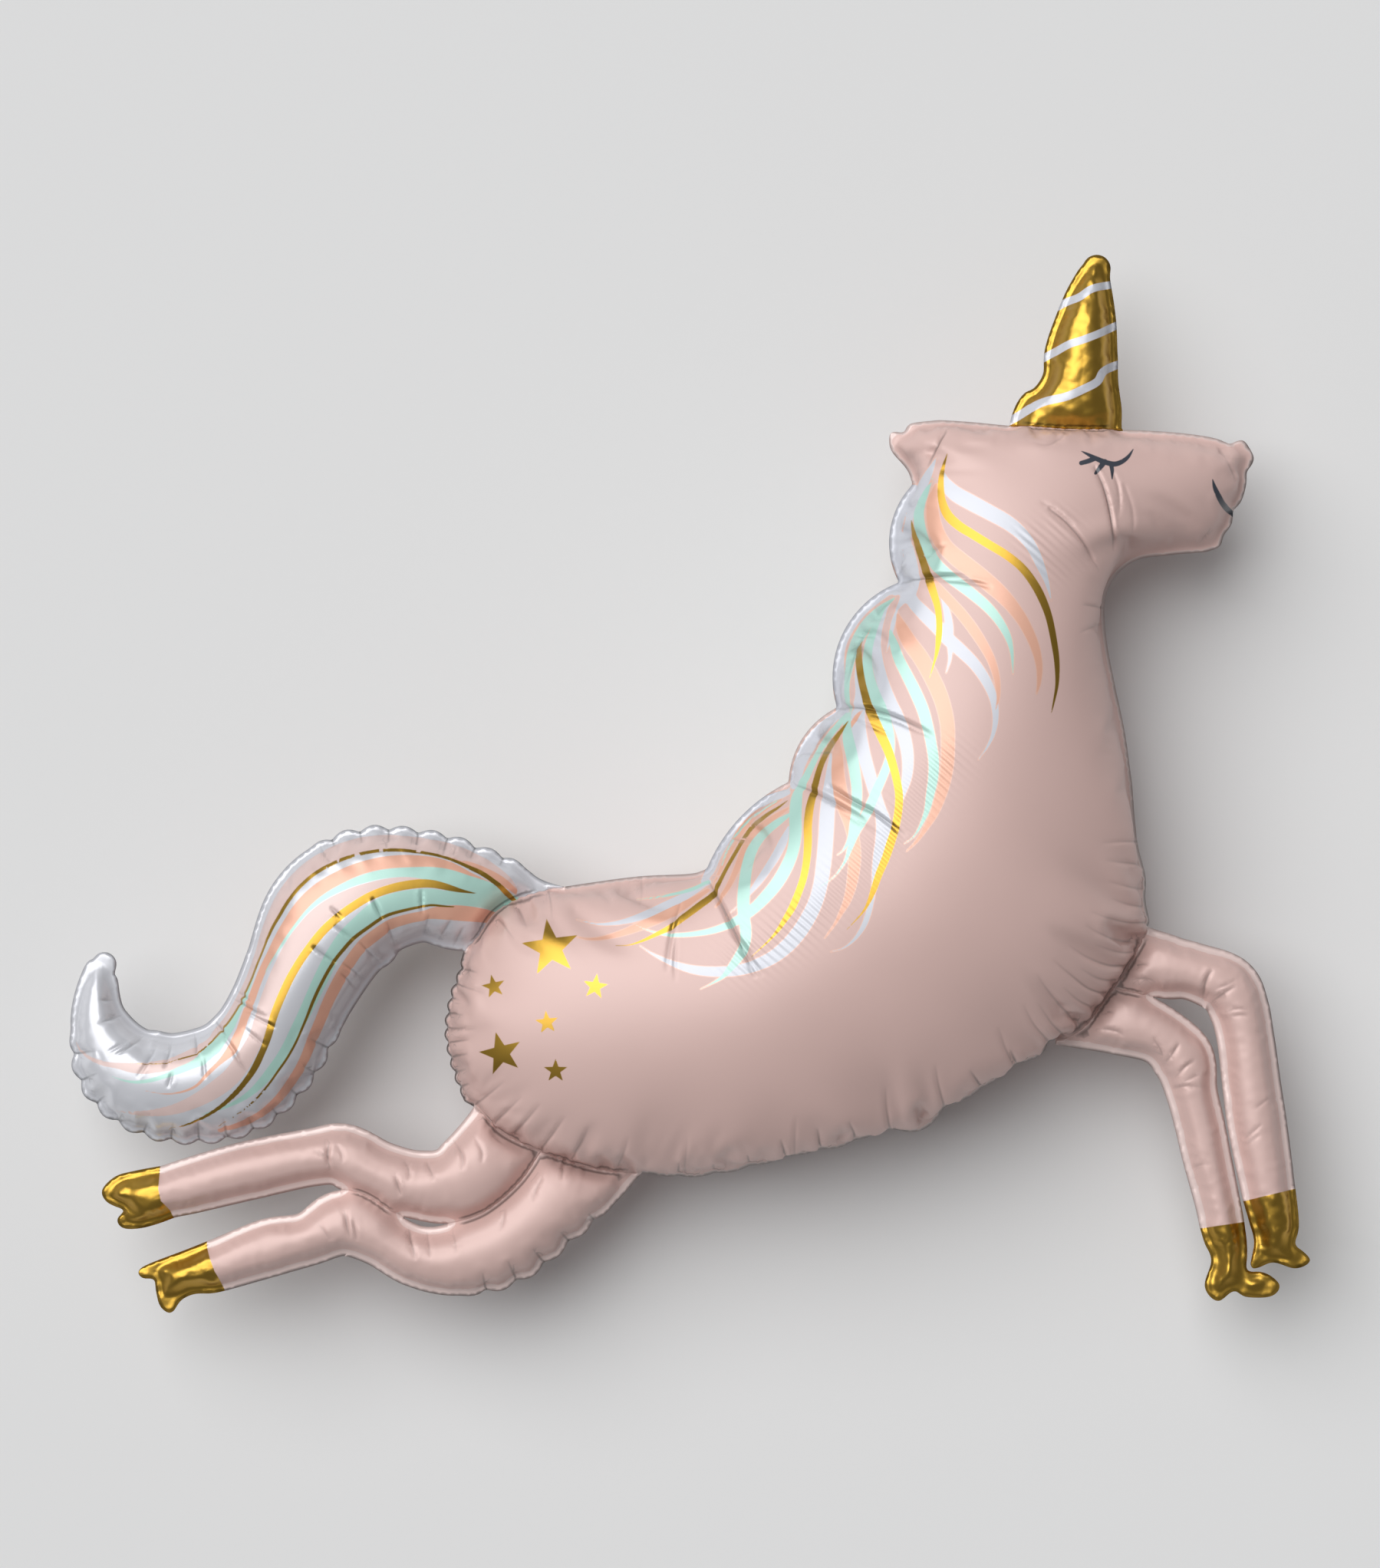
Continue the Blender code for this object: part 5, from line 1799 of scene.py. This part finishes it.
INKS = {
    Ink.ROSE: InkFinish(from_screen(221, 196, 191), 0.38, 0.14),
    Ink.CORAL: InkFinish(from_screen(232, 190, 174), 0.38, 0.20),
    Ink.PEARL: InkFinish(from_screen(207, 209, 217), 0.40, 0.18),
    Ink.PEACH: InkFinish(from_screen(230, 176, 152), 0.36, 0.20),
    Ink.MINT: InkFinish(from_screen(178, 217, 206), 0.36, 0.20),
    Ink.GOLD: InkFinish(from_screen(187, 148, 58), 0.37, 1.0),
    Ink.SLATE: InkFinish(from_screen(58, 62, 72), 0.34, 0.0),
}


class Wiring:
    """A material whose nodes are added and linked one by one."""

    def __init__(self, name: str) -> None:
        self.material = bpy.data.materials.new(name)
        self.material.use_nodes = True
        self.nodes, self.links = self.material.node_tree.nodes, self.material.node_tree.links

    def join(self, value: object, socket: Socket) -> None:
        """Links a socket, or sets a value on it."""
        if isinstance(value, Socket):
            self.links.new(value, socket)
        else:
            socket.default_value = value

    def add(self, kind: str, output: str, inputs: dict, **settings: str) -> Socket:
        """Adds a node.

        Args:
            kind: The kind of node.
            output: Which of its outputs is wanted.
            inputs: The values of some of its inputs, or the outputs that they are linked to.
            settings: Its other settings.

        Returns:
            The wanted output.
        """
        node = self.nodes.new(kind)
        for name, setting in settings.items():
            setattr(node, name, setting)
        for name, value in inputs.items():
            self.join(value, node.inputs[name])
        return node.outputs[output]

    def attribute(self, name: str) -> Socket:
        """One of the mesh's attributes."""
        return self.add("ShaderNodeAttribute", "Fac", {}, attribute_name=name)

    def worked(self, operation: str, *values: Socket) -> Socket:
        """What a maths node makes of some values."""
        return self.add("ShaderNodeMath", "Value", dict(enumerate(values)), operation=operation)

    def mixed(self, share: Socket, under: object, over: object) -> Socket:
        """One colour or number over another where an ink covers it."""
        mix = self.nodes.new("ShaderNodeMix")
        mix.data_type = "RGBA" if isinstance(over, tuple) else "FLOAT"
        for value, socket in zip((share, under, over), (entry for entry in mix.inputs if entry.enabled)):
            self.join(value, socket)
        return next(socket for socket in mix.outputs if socket.enabled)

    def dressed(self, inputs: dict) -> bpy.types.Material:
        """The material with some inputs of its surface set or linked."""
        for name, value in inputs.items():
            self.join(value, self.nodes["Principled BSDF"].inputs[name])
        return self.material


@dataclass(frozen=True)
class FilmFinish:
    """The film of a chamber: its ground, the inks on it, its paler margin and the shade painted in its folds.
    """

    name: str
    ground: InkFinish
    inks: tuple[Ink, ...]
    margin: InkFinish | None = None
    margin_width: float = 0.0066
    shade: float = 0.05
    cloud_scale: float = 9.0
    cloud_detail: float = 3.0
    edge: float = 0.00035
    grain: float = 0.02
    grain_scale: float = 210.0
    grain_detail: float = 4.0
    grain_height: float = 0.002
    # How dark and how wide the painted shade of the folds is.
    fold_shade: float = 0.62
    fold_width: float = 0.0019
    coat: float = 0.22
    coat_roughness: float = 0.36
    rib_pitch: float = 0.0062
    rib_height: float = 0.00045
    rib_turn: float = math.radians(-49)
    rib_waver: float = 2.2
    rib_waver_scale: float = 0.25

    def material(self) -> bpy.types.Material:
        """Builds the film's material."""
        wiring = Wiring(self.name)
        place = wiring.add("ShaderNodeTexCoord", "Object", {})
        cloud = wiring.add("ShaderNodeTexNoise", "Fac", {
            "Vector": place, "Scale": self.cloud_scale, "Detail": self.cloud_detail})
        shade = wiring.add("ShaderNodeMapRange", "Result", {
            "Value": cloud, "To Min": 1 - self.shade, "To Max": 1 + self.shade})
        layers = [(f"depth_{ink.value}", 0.0, INKS[ink]) for ink in self.inks]
        if self.margin:
            layers.insert(0, ("to_edge", -self.margin_width, self.margin))
        look = (self.ground.colour, self.ground.roughness, self.ground.metallic)
        for name, start, finish in layers:
            share = self.coverage(wiring, name, start)
            over = (finish.colour, finish.roughness, finish.metallic)
            look = [wiring.mixed(share, below, above) for below, above in zip(look, over)]
        colour, roughness, metallic = look
        # The colour is scaled by its random tone, less the painted shade of folds, joints and the belly's
        # rim.
        tint = wiring.add("ShaderNodeVectorMath", "Vector", {
            0: colour, "Scale": self.folded(wiring, shade)}, operation="SCALE")
        grain = wiring.add("ShaderNodeTexNoise", "Fac", {
            "Vector": place, "Scale": self.grain_scale, "Detail": self.grain_detail})
        normal = wiring.add("ShaderNodeBump", "Normal", {
            "Height": grain, "Strength": self.grain, "Distance": self.grain_height,
            "Normal": self.ribbed(wiring, place)})
        return wiring.dressed({
            "Base Color": tint, "Roughness": roughness, "Metallic": metallic, "Normal": normal,
            "Coat Weight": self.coat, "Coat Roughness": self.coat_roughness})

    def ribbed(self, wiring: Wiring, place: Socket) -> Socket:
        """The normal of the film with its fine tight ribs, which run in from the weld behind the mane."""
        turned = wiring.add("ShaderNodeMapping", "Vector", {
            "Vector": place, "Rotation": (0, 0, self.rib_turn)})
        rib = wiring.add("ShaderNodeTexWave", "Fac", {
            "Vector": turned, "Scale": 2 * math.pi / 20 / self.rib_pitch, "Distortion": self.rib_waver,
            "Detail Scale": self.rib_waver_scale})
        height = wiring.worked("MULTIPLY", rib, wiring.attribute("ribs"))
        return wiring.add("ShaderNodeBump", "Normal", {"Height": height, "Distance": self.rib_height})

    def coverage(self, wiring: Wiring, name: str, start: float) -> Socket:
        """Where a layer is: 1 where its depth is above the start and 0 elsewhere, with a sharp edge."""
        return wiring.add("ShaderNodeMapRange", "Result", {
            "Value": wiring.attribute(name), "From Min": start - self.edge, "From Max": start + self.edge})

    def folded(self, wiring: Wiring, shade: Socket) -> Socket:
        """The random tone, less painted shade along the bottoms of the folds, the joints between chambers and
        the turned-under rim of the belly.
        """
        far = wiring.worked("ABSOLUTE", wiring.attribute("fold_side"))
        line = wiring.add("ShaderNodeMapRange", "Result", {
            "Value": far, "From Max": self.fold_width, "To Min": self.fold_shade, "To Max": 0.0},
            interpolation_type="SMOOTHSTEP")
        deep = wiring.worked("MULTIPLY", line, wiring.attribute("fold_strong"))
        return wiring.worked("SUBTRACT", shade, deep)


PINK = InkFinish(from_screen(217, 185, 178), 0.50, 0.12)
PINK_MARGIN = InkFinish(from_screen(227, 205, 200), 0.32, 0.10)
PEARL = InkFinish(from_screen(211, 212, 218), 0.30, 0.22)
PINK_FILM = FilmFinish(
    "printed_pink_film", PINK, (Ink.CORAL, Ink.PEARL, Ink.PEACH, Ink.MINT, Ink.GOLD, Ink.SLATE),
    PINK_MARGIN, margin_width=0.0030)
LEG_FILM = FilmFinish("gold_tipped_pink_film", PINK, (Ink.GOLD,), PINK_MARGIN)
PEARL_FILM = FilmFinish("printed_pearl_film", PEARL, (Ink.ROSE, Ink.PEACH, Ink.MINT, Ink.GOLD))
GOLD_FILM = FilmFinish("gold_horn_film", PINK, (Ink.GOLD, Ink.PEARL))


class Artwork:
    """The inks on a film, as how deep each point of it lies inside each ink, in metres.

    Coral edges the pale locks of the mane, and the stars are kept apart because only the front has them.
    """

    unprinted = -0.012
    edging = 0.0007

    def __init__(self, seen: Points, chamber: Points) -> None:
        """Prints the film.

        Args:
            seen: Each point's place as seen from above.
            chamber: The number of each point's chamber.
        """
        self.seen, self.chamber = seen, chamber
        self.depths = {ink: np.full(len(seen), self.unprinted) for ink in Ink}
        self.stroke(MANE + FACE, TRUNK.number)
        for ink in (Ink.PEARL, Ink.PEACH, Ink.MINT):
            self.depths[Ink.CORAL] = np.maximum(self.depths[Ink.CORAL], self.depths[ink] + self.edging)
        self.stars = np.full(len(seen), self.unprinted)
        self.stroke(STARS, TRUNK.number, self.stars)
        self.stroke(HORN_BANDS, HORN.number)
        tail = np.flatnonzero(chamber == TAIL.number)
        at = TailPlace(seen[tail])
        for band in TAIL_BANDS:
            depth = self.depths[band.ink]
            depth[tail] = np.maximum(depth[tail], band.depth(at))
        gold = self.depths[Ink.GOLD]
        for tip in GOLD_TIPS:
            own = np.flatnonzero(chamber == tip.limb.number)
            gold[own] = np.maximum(gold[own], tip.depth(seen[own]))
        horn = chamber == HORN.number
        gold[horn] = np.minimum(gold[horn], -self.depths[Ink.PEARL][horn])

    def stroke(self, drawn: Iterable, number: int, onto: Points | None = None) -> None:
        """Prints locks or stars on a chamber.

        Args:
            drawn: The locks or stars.
            number: The chamber's number.
            onto: The depths to print on, if not those of each lock's own ink.
        """
        own = self.chamber == number
        for mark in drawn:
            near = mark.near(self.seen)
            near = near[own[near]]
            if len(near):
                depth = self.depths[mark.ink] if onto is None else onto
                depth[near] = np.maximum(depth[near], mark.depth(self.seen[near]))

    def edge_near(self, away: float, inks: Iterable[Ink]) -> Points:
        """Which points lie near the edge of one of some inks, or of a star."""
        near = np.abs(self.stars) < away
        for ink in inks:
            near |= np.abs(self.depths[ink]) < away
        return near

    def on(self, ink: Ink, with_stars: bool) -> Points:
        """The depths of an ink on the front, or on the back, which has no stars."""
        if with_stars and ink is Ink.GOLD:
            return np.maximum(self.depths[ink], self.stars)
        return self.depths[ink]


@dataclass(frozen=True)
class ChamberFilm:
    """One air chamber of the balloon: its closed mesh, its print and its finish."""

    name: str
    finish: FilmFinish
    slot: str

    def build(self, envelope: Envelope) -> bpy.types.Object:
        """Makes the chamber's piece.

        Args:
            envelope: The two films.

        Returns:
            The finished object, riding on the balloon's body.
        """
        number = CHAMBERS.index(self.name)
        points, triangles, origin, on_back = envelope.piece(number)
        mesh = bpy.data.meshes.new(f"{self.name}_film")
        mesh.vertices.add(len(points))
        mesh.vertices.foreach_set("co", points.astype(np.float32).ravel())
        mesh.loops.add(triangles.size)
        mesh.loops.foreach_set("vertex_index", triangles.astype(np.int32).ravel())
        mesh.polygons.add(len(triangles))
        mesh.polygons.foreach_set("loop_start", np.arange(0, triangles.size, 3, dtype=np.int32))
        mesh.update(calc_edges=True)
        mesh.shade_smooth()
        for ink in self.finish.inks:
            depth = np.where(on_back, envelope.artwork.on(ink, False)[origin],
                             envelope.artwork.on(ink, True)[origin])
            self.write(mesh, f"depth_{ink.value}", depth)
        self.write(mesh, "to_edge", -envelope.from_outline[origin])
        self.write(mesh, "ribs", np.where(on_back, 0, envelope.ribs()[origin]), 1.0)
        # Where the painted shade lines lie, and how strong they are on the front; the back has none.
        self.write(mesh, "fold_side", envelope.fold_side[origin])
        self.write(mesh, "fold_strong", np.where(on_back, 0, envelope.fold_strong[origin]), 1.0)
        mesh.materials.append(self.finish.material())
        piece = bpy.data.objects.new(f"{self.name}_film", mesh)
        bpy.context.scene.collection.objects.link(piece)
        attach(piece, BODY)
        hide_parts(NODE)
        LOG.info("%s: %d triangles", piece.name, len(triangles))
        return piece

    @staticmethod
    def write(mesh: bpy.types.Mesh, name: str, values: Points, limit: float = 0.01) -> None:
        """Writes one number a point to a mesh, at most the limit either way."""
        attribute = mesh.attributes.new(name, "FLOAT", "POINT")
        attribute.data.foreach_set("value", np.clip(values, -limit, limit).astype(np.float32))


BALLOON = (
    ChamberFilm(TRUNK.name, PINK_FILM, "pink_film"),
    ChamberFilm(TAIL.name, PEARL_FILM, "pearl_film"),
    ChamberFilm(NEAR_HIND.name, LEG_FILM, "pink_film"),
    ChamberFilm(FAR_HIND.name, LEG_FILM, "pink_film"),
    ChamberFilm(FAR_FRONT.name, LEG_FILM, "pink_film"),
    ChamberFilm(NEAR_FRONT.name, LEG_FILM, "pink_film"),
    ChamberFilm(HORN.name, GOLD_FILM, "gold_foil"),
)


@dataclass(frozen=True)
class Lamp:
    """A soft light: its place, what it aims at, its sides and its power."""

    name: str
    place: tuple
    aim: tuple
    size: tuple
    power: float
    colour: tuple = (1.0, 1.0, 1.0)

    def build(self) -> bpy.types.Object:
        """Makes the light."""
        light = bpy.data.lights.new(self.name, "AREA")
        light.shape = "RECTANGLE"
        light.size, light.size_y = self.size
        light.energy = self.power
        light.color = self.colour
        lamp = bpy.data.objects.new(self.name, light)
        lamp.location = self.place
        lamp.rotation_euler = (Vector(self.aim) - Vector(self.place)).to_track_quat("-Z", "Y").to_euler()
        bpy.context.scene.collection.objects.link(lamp)
        return lamp


@dataclass(frozen=True)
class Studio:
    """The pale floor, the light and the camera, which looks straight down on the lying balloon."""

    floor_colour: Colour = from_screen(228, 228, 228)
    floor_size: float = 40.0
    floor_gap: float = 0.0006
    floor_roughness: float = 0.9
    floor_gloss: float = 0.1
    sky: Colour = (0.96, 0.98, 1.0, 1.0)
    sky_strength: float = 0.19
    key_strength: float = 2.55
    key_angle: float = 1.0
    key_from: tuple = (-0.56, 0.54, 1.14)
    lamps: tuple = (
        Lamp("soft_top", (-0.6, 0.9, 3.0), (0, 0, 0.1), (1.4, 1.4), 5.0, (1.0, 0.99, 0.97)),
    )
    picture: tuple = (1799, 2044)
    balloon_pixels: float = 1616.0
    sensor: float = 24.0
    farthest: float = 50.0

    def build(self, middle: float) -> None:
        """Makes the studio round the balloon.

        Args:
            middle: The height of the balloon's middle plane.
        """
        bpy.ops.object.select_all(action="DESELECT")
        bpy.ops.mesh.primitive_plane_add(size=self.floor_size, location=(0, 0, -self.floor_gap))
        floor = bpy.context.active_object
        floor.name = "studio_floor"
        floor.data.materials.append(Wiring("pale_paper").dressed({
            "Base Color": self.floor_colour, "Roughness": self.floor_roughness,
            "Specular IOR Level": self.floor_gloss}))
        floor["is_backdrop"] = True
        world = bpy.data.worlds.new("studio")
        world.use_nodes = True
        background = world.node_tree.nodes["Background"]
        background.inputs["Color"].default_value = self.sky
        background.inputs["Strength"].default_value = self.sky_strength
        bpy.context.scene.world = world
        bpy.context.scene.view_settings.view_transform = "Standard"
        sun = bpy.data.lights.new("key", "SUN")
        sun.energy, sun.angle = self.key_strength, self.key_angle
        key = bpy.data.objects.new("key", sun)
        key.rotation_euler = Vector(self.key_from).to_track_quat("Z", "Y").to_euler()
        bpy.context.scene.collection.objects.link(key)
        for lamp in self.lamps:
            lamp.build()
        self.camera(middle)

    def camera(self, middle: float) -> None:
        """Makes the camera, so that the balloon is as long in the picture as in the photograph."""
        camera = bpy.data.cameras.new("photo_view")
        camera.sensor_fit = "VERTICAL"
        camera.sensor_height = self.sensor
        view_height = SIZES.length * self.picture[1] / self.balloon_pixels
        camera.lens = self.sensor * (SIZES.eye_height - middle) / view_height
        camera.clip_end = self.farthest
        eye = bpy.data.objects.new("photo_view", camera)
        eye.location = (0, 0, SIZES.eye_height)
        bpy.context.scene.collection.objects.link(eye)
        bpy.context.scene.camera = eye


def main() -> None:
    """Builds the balloon's chambers and the studio round them."""
    logging.basicConfig(level=logging.INFO, format="%(message)s")
    envelope = Envelope()
    for chamber in BALLOON:
        chamber.build(envelope)
    Studio().build(envelope.middle)
    boxes = {name: [list(map(float, corner)) for corner in box]
             for name, box in (("cad", CAD_BOX), ("visual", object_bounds()))}


if __name__ == "__main__":
    main()
